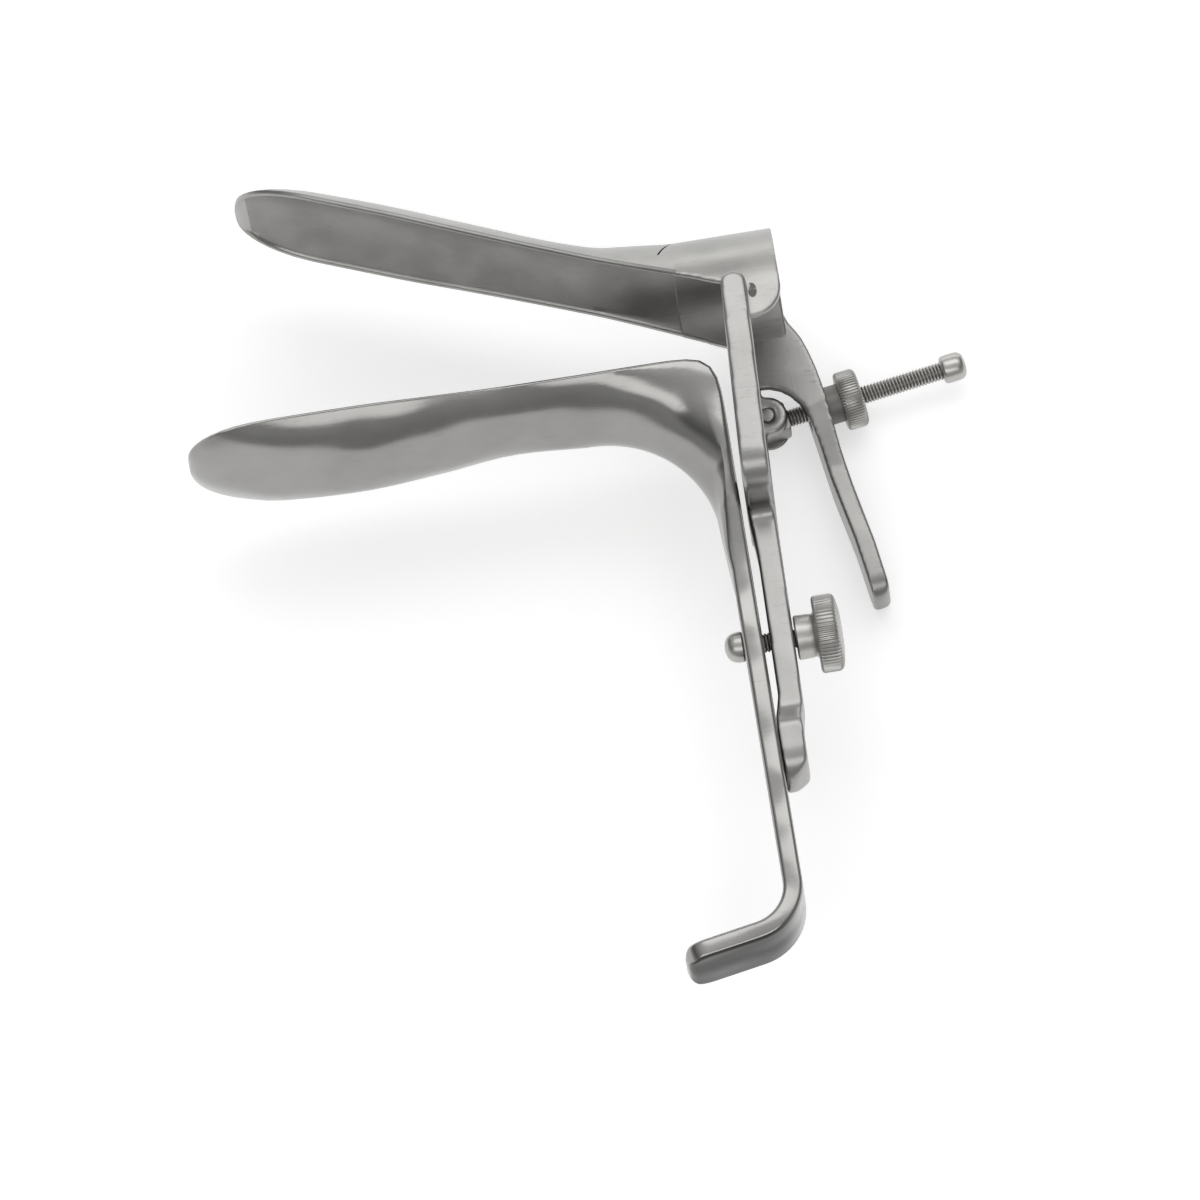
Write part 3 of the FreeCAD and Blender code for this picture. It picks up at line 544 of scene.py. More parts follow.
@dataclass(frozen=True)
class Steel:
    """A stainless finish: its tone, polish and brushing, what years of use left on it, and some painted
    shade.

    The groove is the pair of radii between which the dirt and painted shade towards the axis fade out, in
    millimetres. The underside shade level is the height below the hinge, also in millimetres, under which
    faces that look down get a painted shade. The hinge patch is a place beside the hinge for a ragged dark
    patch, and the shares darken the tone.
    """

    name: str
    tone: tuple[float, float, float]
    polish: float
    brushing: Brushing
    streak: float = 0.10
    cloud: float = 0.07
    height: float = 0.06
    wave: float = 0.0
    anisotropy: float = 0.0
    place: Place | None = None
    groove: tuple[float, float] | None = None
    groove_tone: tuple[float, float, float] = (0.1, 0.098, 0.094)
    contrast: float = 0.80
    scuff: float = 0.45
    underside_shade_below: float | None = None
    hinge_patch: tuple[float, float] | None = None
    hinge_patch_radius: float = 2.1
    hinge_patch_narrow: float = 1.7
    speck_share: float = 0.6
    underside_shade_share: float = 0.14
    hinge_patch_share: float = 0.18
    scuff_share: float = 0.55

    def _tone(self, share: float = 1.0) -> tuple[float, ...]:
        """The steel's colour at a share of its tone."""
        return (*(channel * share for channel in self.tone), 1)

    def _groove_dirt_and_shade(self, graph: Graph, source: bpy.types.NodeSocket, clouds: Socket) -> Socket:
        """Mask the dirt and painted shade that deepen towards the axis, in a thread's grooves or over a nut's
        collar.

        Args:
            graph: The material's nodes.
            source: Coordinates whose x axis is the piece's own.
            clouds: The soft noise that breaks the dirt and shade up.

        Returns:
            The mask.
        """
        _, across, up = graph.axes(source)
        low, high = (edge * MM for edge in self.groove)
        depth = 1 - (across * across + up * up).clamped(low * low, high * high)
        return depth * (0.65 + clouds * 0.5)

    def _painted_underside_shade(self, graph: Graph, source: bpy.types.NodeSocket) -> Socket:
        """Mask the faces that look down below the underside shade level, for a painted shade.

        Args:
            graph: The material's nodes.
            source: Object coordinates.

        Returns:
            The mask.
        """
        face = graph.node("ShaderNodeNewGeometry", {}, {})
        under = (0 - graph.axes(face.outputs["Normal"])[1]).clamped(0.35, 0.85)
        low = (HINGE.y + self.underside_shade_below * MM - graph.axes(source)[1]).clamped(0.0, 0.006)
        return under * low

    def _hinge_patch(self, graph: Graph, source: bpy.types.NodeSocket, spots: Socket) -> Socket:
        """Mask the ragged dark patch beside the hinge.

        Args:
            graph: The material's nodes.
            source: Object coordinates.
            spots: The fine noise that breaks the patch's edge up.

        Returns:
            The mask.
        """
        centre = AT_HINGE.at(*self.hinge_patch, 0)
        x, y, _ = graph.axes(source)
        across = (x - centre.x) * self.hinge_patch_narrow
        along = y - centre.y
        near = 1 - (across * across + along * along).clamped(0.0, (self.hinge_patch_radius * MM) ** 2)
        return (near * 1.6 * spots.clamped(0.25, 0.55)).clamped(0.25, 0.8)

    def material(self) -> bpy.types.Material:
        """Build the finish.

        Returns:
            The material.
        """
        graph = Graph(bpy.data.materials.new(self.name))
        source = graph.coordinates(self.place)
        streaks = graph.grain(source, self.brushing.value, 3.0, 0.6)
        clouds = graph.grain(source, CLOUD_GRAIN, 2.0)
        spots = graph.grain(source, SPOT_GRAIN, 4.0, 0.7)
        marks = graph.grain(source, SCRATCH_GRAIN, 5.0, 0.75).clamped(0.56, 0.7)
        rough = self.polish + (streaks - 0.5) * self.streak + (clouds - 0.5) * self.cloud
        shade = clouds.clamped(0.25, 0.75) * 0.6 + streaks * 0.4
        colour = graph.blend(shade, self._tone(self.contrast), self._tone())
        colour = graph.blend(spots.clamped(0.68, 0.8) * 0.18, colour, self._tone(self.speck_share))
        if self.groove:
            # Dirt and painted shade, darker towards the piece's axis.
            dirt_and_shade = self._groove_dirt_and_shade(graph, source, clouds)
            colour = graph.blend(dirt_and_shade, colour, (*self.groove_tone, 1))
            rough = rough + dirt_and_shade * 0.15
        # Painted shade: faces that look down, below the level, take a much darker tone.
        if self.underside_shade_below is not None:
            colour = graph.blend(self._painted_underside_shade(graph, source), colour, self._tone(self.underside_shade_share))
        # A ragged dark patch beside the hinge.
        if self.hinge_patch:
            colour = graph.blend(self._hinge_patch(graph, source, spots), colour, self._tone(self.hinge_patch_share))
        colour = graph.blend(marks * self.scuff, colour, self._tone(self.scuff_share))
        rough = rough + marks * (self.scuff * 0.2)
        bump = graph.node("ShaderNodeBump", {}, {
            "Height": streaks, "Strength": self.height, "Distance": LINE_DEPTH})
        if self.wave:
            bump = graph.node("ShaderNodeBump", {}, {
                "Height": graph.grain(source, SWELL_GRAIN, 1.0), "Strength": self.wave,
                "Distance": SWELL_DEPTH, "Normal": bump.outputs["Normal"]})
        surface = graph.node("ShaderNodeBsdfPrincipled", {}, {
            "Base Color": colour, "Roughness": rough, "Normal": bump.outputs["Normal"],
            "Metallic": 1.0, "Anisotropic": self.anisotropy})
        graph.node("ShaderNodeOutputMaterial", {}, {"Surface": surface.outputs[0]})
        return graph.owner


SATIN_BLADE = Steel("satin_blade_steel", (0.45, 0.445, 0.43), 0.33, Brushing.ALONG_BLADE, streak=0.16,
                    height=0.08, anisotropy=0.3, contrast=0.72, hinge_patch=(3.5, -1.2))
# A darker, rougher copy of the satin blade finish for inner faces; the darker tone is painted shade.
SATIN_INSIDE_PAINTED_SHADE = Steel("satin_inside_painted_shade_steel", (0.32, 0.315, 0.305), 0.38, Brushing.ALONG_BLADE, streak=0.2,
                     height=0.12, anisotropy=0.3, contrast=0.55)
SATIN_LEVER = Steel("satin_lever_steel", (0.33, 0.325, 0.315), 0.31, Brushing.ALONG_HANDLE, streak=0.12,
                    height=0.05, wave=0.3, contrast=0.75)
# Its faces that look down under the foot carry a painted shade.
POLISHED_BLADE = Steel("polished_blade_steel", (0.345, 0.34, 0.33), 0.2, Brushing.ALONG_BLADE, streak=0.08,
                       height=0.03, wave=0.5, underside_shade_below=-124.0, scuff=0.25)
SATIN_BAR = Steel("satin_bar_steel", (0.385, 0.38, 0.37), 0.31, Brushing.ALONG_HANDLE, streak=0.12,
                  height=0.05, wave=0.15)
TURNED_ROD = Steel("turned_rod_steel", (0.50, 0.495, 0.475), 0.3, Brushing.ROUND_THE_AXIS, place=AT_SWIVEL)
TURNED_CLAMP = Steel("turned_clamp_steel", (0.50, 0.495, 0.475), 0.3, Brushing.ROUND_THE_AXIS, place=AT_CLAMP)
# Its groove band darkens the duller, stained collar, not the knurl.
KNURLED_NUT = Steel("knurled_nut_steel", (0.52, 0.515, 0.495), 0.36, Brushing.ROUND_THE_AXIS,
                    place=AT_SWIVEL, groove=(4.1, 4.5), groove_tone=(0.2, 0.195, 0.185))
KNURLED_KNOB = Steel("knurled_knob_steel", (0.52, 0.515, 0.495), 0.36, Brushing.ROUND_THE_AXIS,
                     place=AT_CLAMP)
THREAD_ROD = Steel("threaded_rod_steel", (0.5, 0.49, 0.47), 0.36, Brushing.ROUND_THE_AXIS,
                   place=AT_SWIVEL, groove=(1.5, 1.86), groove_tone=(0.2, 0.196, 0.19))
THREAD_CLAMP = Steel("threaded_clamp_steel", (0.42, 0.41, 0.395), 0.34, Brushing.ROUND_THE_AXIS,
                     place=AT_CLAMP, groove=(1.58, 1.96))
DARK_JOINT = Steel("dark_joint_steel", (0.36, 0.35, 0.335), 0.38, Brushing.NONE, streak=0.1, cloud=0.16)


SHEET = 1.7


@dataclass
class Section:
    """One cross-section of a blade or bar, in millimetres.

    The rim lies at depth 0 and the crest at full depth, with the width across it.
    """

    rim: tuple[float, float]
    inward: tuple[float, float]
    half: float
    depth: float
    hollow: float
    wall: float = SHEET
    lip: float = 0.4
    square: float = 0.0
    corner: float = 1.0

    OUTSIDE = 32
    EDGE = 6
    INSIDE = 26
    CREST_SHARE = 0.94
    FLAT_SHARE = 0.62
    CORNER_SHARE = 0.88

    def _outer(self, share: float) -> tuple[float, float]:
        """Find a point of the outside.

        Args:
            share: Its place, from one rim at -1 over the crest to the other rim at 1.

        Returns:
            Its width and depth.
        """
        round_rim = self.wall / 2
        lip = max(self.lip, round_rim)
        sag = max(self.depth - lip, 0.02)
        radius = (self.half ** 2 + sag ** 2) / (2 * sag)
        reach = math.atan2(self.half, radius - sag)
        side = math.copysign(1.0, share)
        along = abs(share)
        if along > self.CREST_SHARE:
            past = (along - self.CREST_SHARE) / (1 - self.CREST_SHARE)
            arc = (side * self.half, lip + (round_rim - lip) * past)
        else:
            angle = reach * along / self.CREST_SHARE
            arc = (side * radius * math.sin(angle), self.depth - radius + radius * math.cos(angle))
        if not self.square:
            return arc
        corner = min(self.corner, self.depth / 2)
        if along < self.FLAT_SHARE:
            box = (side * (self.half - corner) * along / self.FLAT_SHARE, self.depth)
        elif along < self.CORNER_SHARE:
            angle = math.pi / 2 * (along - self.FLAT_SHARE) / (self.CORNER_SHARE - self.FLAT_SHARE)
            box = (side * (self.half - corner + corner * math.sin(angle)),
                   self.depth - corner + corner * math.cos(angle))
        else:
            start = self.depth - corner
            past = (along - self.CORNER_SHARE) / (1 - self.CORNER_SHARE)
            box = (side * self.half, start + (round_rim - start) * past)
        return tuple(a + (b - a) * self.square for a, b in zip(arc, box))

    def points(self) -> list[tuple[float, float]]:
        """Go once round the section.

        Returns:
            All its (width, depth) points.
        """
        round_rim = self.wall / 2
        inner_half = max(self.half - self.wall, self.half * 0.1)
        step = (self.half - inner_half) / 2
        sink = min(round_rim, max(self.hollow, 0.0))
        loop = [self._outer(-1 + 2 * i / self.OUTSIDE) for i in range(self.OUTSIDE + 1)]
        for i in range(1, self.EDGE):
            angle = math.pi * i / self.EDGE
            fall = round_rim if angle < math.pi / 2 else sink
            loop.append((inner_half + step + step * math.cos(angle), fall - fall * math.sin(angle)))
        floor = max(self.hollow - sink, 0.0)
        for i in range(self.INSIDE + 1):
            share = 1 - 2 * i / self.INSIDE
            if floor > 0.01:
                radius = (inner_half ** 2 + floor ** 2) / (2 * floor)
                reach = math.atan2(inner_half, radius - floor)
                angle = reach * share
                loop.append((radius * math.sin(angle), self.hollow - radius + radius * math.cos(angle)))
            else:
                loop.append((inner_half * share, sink))
        for i in range(1, self.EDGE):
            angle = math.pi * i / self.EDGE
            fall = sink if angle < math.pi / 2 else round_rim
            loop.append((-inner_half - step + step * math.cos(angle), fall - fall * math.sin(angle)))
        return loop

    def ring(self, shrink: float = 1.0) -> list[Vector]:
        """Place the section.

        Args:
            shrink: Its share of full size about its middle, for a rounded end.

        Returns:
            Its points in the row frame.
        """
        middle = self.depth / 2
        ring = []
        for across, deep in self.points():
            across, deep = across * shrink, middle + (deep - middle) * shrink
            ring.append(AT_HINGE.at(self.rim[0] + self.inward[0] * deep,
                                    self.rim[1] + self.inward[1] * deep, across))
        return ring


def tip_width(from_tip: float, run: float, blunt: float = 0.18) -> float:
    """Round a blade's tip.

    Args:
        from_tip: The distance from the tip, in millimetres.
        run: Where the full width starts.
        blunt: The share at the tip itself.

    Returns:
        The share of the blade's width there.
    """
    if from_tip >= run:
        return 1.0
    return blunt + (1 - blunt) * math.sqrt(max(1 - (1 - from_tip / run) ** 2.3, 0.0))


TIP_STEPS = (0.0, 0.25, 0.7, 1.4, 2.4, 3.8, 5.6, 8.0, 11.0, 14.5)
HOLLOW_STARTS = (0.5, 4.0)
TIP_SHRINKS = (0.5, 0.85)


def join(name: str, piece: bpy.types.Object, body: str, finish: bpy.types.Material,
         nodes: Sequence[str] = ()) -> bpy.types.Object:
    """Give a finished piece its material and body, and report it.

    Args:
        name: What the piece is called in the report.
        piece: The piece.
        body: The body that it rides on.
        finish: Its material.
        nodes: The frame nodes that it stands for.

    Returns:
        The same piece.
    """
    piece.data.materials.clear()
    piece.data.materials.append(finish)
    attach(piece, body)
    if nodes:
        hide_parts(*nodes)
    LOG.info("%s: %d faces on %s", name, len(piece.data.polygons), body)
    return piece


@dataclass
class LowerBlade:
    """The forged lower blade: duck-bill trough, curved neck, slotted handle and bent foot."""

    rim_level: float = -11.7
    reach: float = 115.9
    tip_run: float = 18.0
    neck_x: float = -35.0
    neck_y: float = -42.0
    neck_radius: float = 21.2
    neck_gain: float = 2.8
    neck_half: float = 14.6
    neck_bow: float = 10.0
    handle_back: float = -5.8
    handle_thick: float = 4.0
    handle_half: float = 8.0
    foot_start: float = -125.0
    foot_bend: float = 8.0
    foot_angle: float = 80.0
    foot_end: float = -31.2
    slot_top: float = -60.0
    slot_bottom: float = -115.0
    slot_wide: float = 4.3
    end_round: float = 4.6
    end_thin: float = 1.9
    half: Smooth = field(default_factory=lambda: Smooth(
        (0, 17.8), (18, 17.8), (34.8, 17.5), (51, 16.2), (66, 15.0), (80.9, 14.6)))
    depth: Smooth = field(default_factory=lambda: Smooth(
        (0, 1.9), (1.2, 3.5), (4.2, 5.4), (9, 7.2), (18, 9.4), (34.8, 10.4), (51, 9.4), (66, 7.9),
        (80.9, 9.1)))

    HANDLE_STEPS = (43.5, 45, 46.5, 48, 50, 52, 54.5, 57, 59, 61, 64, 70, 78, 88, 98, 108, 116, 121, 124)
    END_STEPS = (12.0, 8.0, 5.6, 4.6, 3.5, 2.5, 1.9, 1.4, 0.9, 0.5, 0.22, 0.05, 0.0)
    FOOT_SHRINKS = (0.8, 0.5)
    TROUGH_STEPS = 18
    NECK_STEPS = 24
    BEND_STEPS = 14

    def _trough(self) -> list[Section]:
        """Lay out the duck-bill trough.

        Returns:
            Sections from the tip to the start of the neck.
        """
        straight = self.reach + self.neck_x
        steps = list(TIP_STEPS) + [self.tip_run + (straight - self.tip_run) * i / self.TROUGH_STEPS
                                   for i in range(self.TROUGH_STEPS)]
        sections = []
        for run in steps:
            depth = self.depth(run)
            half = self.half(run) * tip_width(run, self.tip_run)
            hollow = (depth - SHEET) * ease(run, *HOLLOW_STARTS)
            sections.append(Section((run - self.reach, self.rim_level), (0, -1), half, depth, hollow))
        return sections

    def _neck(self) -> list[Section]:
        """Turn the trough down into the handle.

        Returns:
            Sections that fan out round the neck's centre.
        """
        level = self.rim_level - self.neck_y
        upright = self.handle_back - self.neck_x
        sections = []
        for step in range(self.NECK_STEPS + 1):
            share = step / self.NECK_STEPS
            angle = math.pi / 2 * share
            rim = ((math.cos(angle) / level) ** self.neck_bow
                   + (math.sin(angle) / upright) ** self.neck_bow) ** (-1 / self.neck_bow)
            crest = self.neck_radius + self.neck_gain * share ** 2
            out = (math.sin(angle), math.cos(angle))
            depth = rim - crest
            sections.append(Section(
                (self.neck_x + out[0] * rim, self.neck_y + out[1] * rim), (-out[0], -out[1]),
                self.neck_half * (1 - 0.28 * share ** 3), depth, depth - SHEET - 1.6 * share,
                lip=0.4 + 3 * math.sin(math.pi * share) ** 4 + 2.2 * share ** 2,
                square=ease(share, 0.8, 1.6)))
        return sections

    def _handle(self) -> list[Section]:
        """Draw the trough out into the bar.

        Returns:
            Sections down the handle, round the bend and out along the foot.
        """
        depth = Smooth((42, 5.2), (52, 4.6), (57, self.handle_thick))
        half = Smooth((42, 10.5), (52, 8.7), (57.5, self.handle_half))
        lip = Smooth((42, 2.6), (52, 3.0), (61, 3.2))
        hollow = Smooth((42, 1.9), (45, 0.9), (48, 0.0))
        sections = []
        for down in self.HANDLE_STEPS:
            sections.append(Section((self.handle_back, -down), (-1, 0), half(down), depth(down), hollow(down),
                                    lip=lip(down), square=0.3 + 0.7 * ease(down, 42, 60)))
        outer = self.foot_bend + self.handle_thick
        centre = (self.handle_back - outer, self.foot_start)
        for step in range(self.BEND_STEPS + 1):
            angle = math.radians(self.foot_angle) * step / self.BEND_STEPS
            out = (math.cos(angle), -math.sin(angle))
            sections.append(self._bar((centre[0] + out[0] * outer, centre[1] + out[1] * outer),
                                      (-out[0], -out[1]), self.handle_half))
        turn = math.radians(self.foot_angle)
        along = (-math.sin(turn), -math.cos(turn))
        start = sections[-1]
        length = (start.rim[0] - self.foot_end) / math.sin(turn)
        for from_end in self.END_STEPS:
            run = length - from_end
            inset, thin = (radius - math.sqrt(max(radius ** 2 - max(radius - from_end, 0) ** 2, 0))
                           for radius in (self.end_round, self.end_thin))
            rim = [start.rim[i] + along[i] * run + start.inward[i] * thin for i in range(2)]
            section = self._bar((rim[0], rim[1]), start.inward, self.handle_half - inset)
            sections.append(replace(section, depth=self.handle_thick - 2 * thin))
        return sections

    def _bar(self, rim: tuple[float, float], inward: tuple[float, float], half: float) -> Section:
        """A plain rounded section of the handle bar."""
        return Section(rim, inward, half, self.handle_thick, 0.0, lip=3.2, square=1.0)

    def _cut_slot(self, piece: bpy.types.Object) -> None:
        """Cut the long slot for the clamping screw through the handle.

        Args:
            piece: The forging.
        """
        middle = (self.slot_top + self.slot_bottom) / 2
        through = self.handle_thick * 3
        cutter = Forge.block(AT_HINGE.at(self.handle_back - self.handle_thick / 2, middle, 0),
                             (through, self.slot_top - self.slot_bottom, self.slot_wide))
        bpy.ops.object.mode_set(mode="EDIT")
        bpy.ops.mesh.select_all(action="DESELECT")
        bpy.ops.object.mode_set(mode="OBJECT")
        for edge in cutter.data.edges:
            first, second = (cutter.data.vertices[i].co for i in edge.vertices)
            edge.select = abs(first.x - second.x) > through / 2 * MM
        bpy.ops.object.mode_set(mode="EDIT")
        bpy.ops.mesh.select_mode(type="EDGE")
        bpy.ops.mesh.bevel(offset=self.slot_wide * 0.49 * MM, segments=10, affect="EDGES")
        bpy.ops.object.mode_set(mode="OBJECT")
        Bench.cut(piece, cutter)

    def build(self) -> None:
        """Shape the forging, cut its slot and dress it."""
        sections = self._trough() + self._neck() + self._handle()
        rings = [sections[0].ring(shrink) for shrink in TIP_SHRINKS]
        rings += [section.ring() for section in sections]
        rings += [sections[-1].ring(shrink) for shrink in self.FOOT_SHRINKS]
        piece = Bench.skin("lower_blade_forging", rings)
        self._cut_slot(piece)
        Bench.smooth(piece, 38)
        join("lower blade", piece, "lower", POLISHED_BLADE.material(), ["lower_blade"])


@dataclass
class UpperBlade:
    """The pressed upper blade, and the arched hood with its two pivot ears."""

    rim_rise: float = 0.8
    reach: float = 107.2
    seam_reach: float = 13.3
    slit: tuple[float, float, float] = (-12.9, 13.7, 11.9)
    slit_size: tuple[float, float, float] = (0.38, 7.5, 4.0)
    slit_lean: float = -22.0
    slit_turn: float = -50.0
    overlap: float = 0.8
    overlap_half: float = 0.14
    overlap_depth: float = 0.02
    tilt_span: tuple[float, float] = (68.0, 100.0)
    ear_side: float = 17.5
    ear_slant: tuple[tuple[float, float], tuple[float, float, float]] = ((-8.75, -2.15), (10.0, 12.0, 8.0))
    ear_upright: tuple[tuple[float, float], tuple[float, float, float]] = ((-6.15, -3.65), (7.9, 10.7, 8.0))
    inner_shade_depth: float = 1.75
    tip_run: float = 17.0
    half: Smooth = field(default_factory=lambda: Smooth(
        (0, 17.5), (32.2, 17.5), (48.2, 16.6), (64.3, 15.86), (75, 15.7), (83.2, 16.2), (93.9, 17.4)))
    depth: Smooth = field(default_factory=lambda: Smooth(
        (0, 1.9), (1.2, 2.85), (4.2, 4.05), (9, 5.35), (17, 6.3), (32.2, 6.7), (48.2, 6.6), (64.3, 6.4),
        (75, 7.05), (83.2, 9.2), (93.9, 12.2)))

    STEPS = 24

    def _sections(self) -> list[Section]:
        """Lay out the pressed blade.

        Returns:
            Sections from the tip to just over the seam with the hood.
        """
        length = self.reach - self.seam_reach
        steps = list(TIP_STEPS) + [self.tip_run + (length - self.tip_run) * i / self.STEPS
                                   for i in range(self.STEPS + 1)]
        sections = []
        for run in steps:
            out = self.reach - run
            rim = (-out * math.cos(BLADE_RISE) + self.rim_rise * math.sin(BLADE_RISE),
                   out * math.sin(BLADE_RISE) + self.rim_rise * math.cos(BLADE_RISE))
            tilt = BLADE_RISE * (1 - ease(run, *self.tilt_span) / ease(length, *self.tilt_span))
            depth = self.depth(run)
            sections.append(Section(rim, (math.sin(tilt), math.cos(tilt)),
                                    self.half(run) * tip_width(run, self.tip_run), depth,
                                    (depth - SHEET) * ease(run, *HOLLOW_STARTS)))
        last = sections[-1]
        drop = self.overlap * math.tan(BLADE_RISE)
        sections.append(replace(last, rim=(last.rim[0] + self.overlap, last.rim[1] - drop),
                                half=last.half + self.overlap_half,
                                depth=last.depth + drop + self.overlap_depth,
                                hollow=last.hollow + drop))
        return sections

    def build(self) -> None:
        """Shape the blade, and trim the hood's ears and finish it."""
        sections = self._sections()
        rings = [sections[0].ring(shrink) for shrink in TIP_SHRINKS]
        rings += [section.ring() for section in sections]
        blade = Bench.skin("upper_blade_pressing", rings)
        slit = Forge.block(Vector(), self.slit_size, (0, 0, self.slit_lean))
        turn = Matrix.Rotation(math.radians(self.slit_turn), 4, "X")
        slit.data.transform(Matrix.Translation(AT_HINGE.at(*self.slit)) @ turn)
        Bench.cut(blade, slit)
        Bench.smooth(blade, 38)
        join("upper blade", blade, "upper", SATIN_BLADE.material(), ["upper_blade"])
        # Inner faces take a darker finish: painted shade.
        inside = SATIN_INSIDE_PAINTED_SHADE.material()
        self._shade_inner_faces(blade, inside, Vector((math.sin(BLADE_RISE), math.cos(BLADE_RISE), 0)))
        slant = -math.degrees(BLADE_RISE)
        cuts = [Forge.block(AT_HINGE.at(*place, side), size, (0, 0, turn))
                for (place, size), turn in ((self.ear_slant, slant), (self.ear_upright, 0))
                for side in (-self.ear_side, self.ear_side)]
        hood = Forge.melt("hood_sheet", ["blade_hood"], 0.28, 5, cuts)
        join("hood", hood, "upper", SATIN_BLADE.material(), ["blade_hood"])
        self._shade_inner_faces(hood, inside, None)

    def _shade_inner_faces(self, piece: bpy.types.Object, finish: bpy.types.Material, out: Vector | None) -> None:
        """Give a sheet's inner faces a darker, rougher finish, whose darker tone is painted shade.

        Args:
            piece: The sheet.
            finish: The inner finish, with its painted shade.
            out: The way that the sheet's back faces, or None for an arch about the hinge.
        """
        piece.data.materials.append(finish)
        for face in piece.data.polygons:
            away = out or Vector((0, face.center.y - HINGE.y, face.center.z - HINGE.z)).normalized()
            deep = out is None or (face.center - HINGE).dot(out) > self.inner_shade_depth * MM
            face.material_index = 1 if deep and face.normal.dot(away) < -0.25 else 0


@dataclass
class LeverAndYoke:
    """The thumb lever, the sliding yoke and the hinge rivets."""

    rivet_sunk: float = 0.8
    arm_fill: tuple[float, float, float] = (-0.1, -13.6, 20.2)
    arm_fill_size: tuple[float, float, float] = (4.35, 9.0, 2.95)
    arm_turn: float = -2.2
    plate_levels: tuple[float, float] = (-16.6, -18.45)
    plate_root: tuple[tuple[float, float], ...] = (
        (8.2, 11.0), (9.0, 9.5), (9.5, 7.0), (10.1, 5.2), (11.2, 3.4), (12.3, 1.2), (13.3, -1.9),
        (14.2, -5.4))
    plate_front: tuple[tuple[float, float], ...] = (
        (14.8, -8.8), (15.2, -11.0), (15.4, -12.6), (10.6, -14.0), (10.2, -13.5), (9.6, -12.8))
    plate_back: tuple[tuple[float, float], ...] = (
        (15.0, -9.8), (15.8, -16.5), (17.0, -27.0), (13.3, -27.0), (11.6, -17.5), (10.0, -13.4))
    plate_arch: tuple[tuple[float, float], ...] = (
        (8.0, -10.8), (6.2, -9.4), (4.0, -8.5), (1.5, -8.3), (-0.8, -8.4), (-1.6, -6.0), (-1.9, 1.0),
        (0.0, 5.0))

    def build(self) -> None:
        """Finish the bars with rounded edges, and the rivets."""
        plate = Bench.skin("plate_fill", [
            [AT_HINGE.at(x, y, level) for x, y in self.plate_root + face + self.plate_arch]
            for level, face in zip(self.plate_levels, (self.plate_front, self.plate_back))])
        lever = Forge.melt("thumb_lever_strip", ["thumb_lever"], 0.3, 14, adds=[plate])
        join("thumb lever", lever, "upper", SATIN_LEVER.material(), ["thumb_lever"])
        edge = Forge.block(AT_HINGE.at(*self.arm_fill), self.arm_fill_size, (0, 0, self.arm_turn))
        yoke = Forge.melt("yoke_fork", ["yoke", "near_hinge_rivet", "far_hinge_rivet"], 0.32, 24, adds=[edge])
        join("yoke", yoke, "yoke", SATIN_BAR.material(), ["yoke"])
        turned = TURNED_CLAMP.material()
        for side in ("near", "far"):
            rivet = Bench.finished_copy(side + "_rivet_finished", side + "_hinge_rivet", 0.15, 2)
            self._sink(rivet)
            join(side + " rivet", rivet, "yoke", turned)

    def _sink(self, rivet: bpy.types.Object) -> None:
        """File a rivet's outer end back, so that the yoke's rounded arm closes over it.

        Args:
            rivet: The rivet.
        """
        outer = max(abs(vertex.co.z - HINGE.z) for vertex in rivet.data.vertices)
        filed = outer - self.rivet_sunk * MM
        for vertex in rivet.data.vertices:
            if abs(vertex.co.z - HINGE.z) > filed:
                vertex.co.z = HINGE.z + math.copysign(filed, vertex.co.z - HINGE.z)


PITCH = 0.7
THREAD_FLATS = 28
THREAD_ROWS = 6
CREST_SLOPE = 1.35
RUNNING_FIT = 0.05
ROUND_FLATS = 64
RIB_FLATS = 240
FLATS_PER_RIB = 4


def threaded(name: str, place: Place, start: float, end: float, major: float,
             root: float) -> bpy.types.Object:
    """Cut a thread along a place's own x axis.

    Args:
        name: The new piece's name.
        place: The frame whose x axis is the screw's.
        start: Where the thread starts, in millimetres.
        end: Where it ends.
        major: The radius over the crests.
        root: The radius in the grooves.

    Returns:
        The closed piece.
    """
    rows = round((end - start) / PITCH * THREAD_ROWS)
    rings = []
    for row in range(rows + 1):
        along = start + (end - start) * row / rows
        ring = []
        for column in range(THREAD_FLATS):
            share = column / THREAD_FLATS
            phase = (along / PITCH - share) % 1.0
            crest = 1 - abs(2 * phase - 1)
            radius = root + (major - root) * min(crest * CREST_SLOPE, 1.0)
            angle = math.tau * share
            ring.append(place.at(along, radius * math.cos(angle), radius * math.sin(angle)))
        rings.append(ring)
    return Bench.skin(name, rings)


def knurl(piece: bpy.types.Object, place: Place, span: tuple[float, float], radius: float,
          deep: float) -> None:
    """Press straight ribs into a turned rim.

    Args:
        piece: The turned piece.
        place: The frame whose x axis it was turned about.
        span: Where along the axis the ribs lie, in millimetres.
        radius: Only points further out than this are pressed.
        deep: How deep the grooves are, in millimetres.
    """
    inverse = place.matrix.inverted()
    for vertex in piece.data.vertices:
        local = inverse @ vertex.co
        out = math.hypot(local.y, local.z)
        if out < radius * MM or not span[0] * MM <= local.x <= span[1] * MM:
            continue
        index = round(math.atan2(local.z, local.y) / math.tau * RIB_FLATS)
        if index % FLATS_PER_RIB < FLATS_PER_RIB / 2:
            scale = 1 - deep * MM / out
            vertex.co = place.matrix @ Vector((local.x, local.y * scale, local.z * scale))


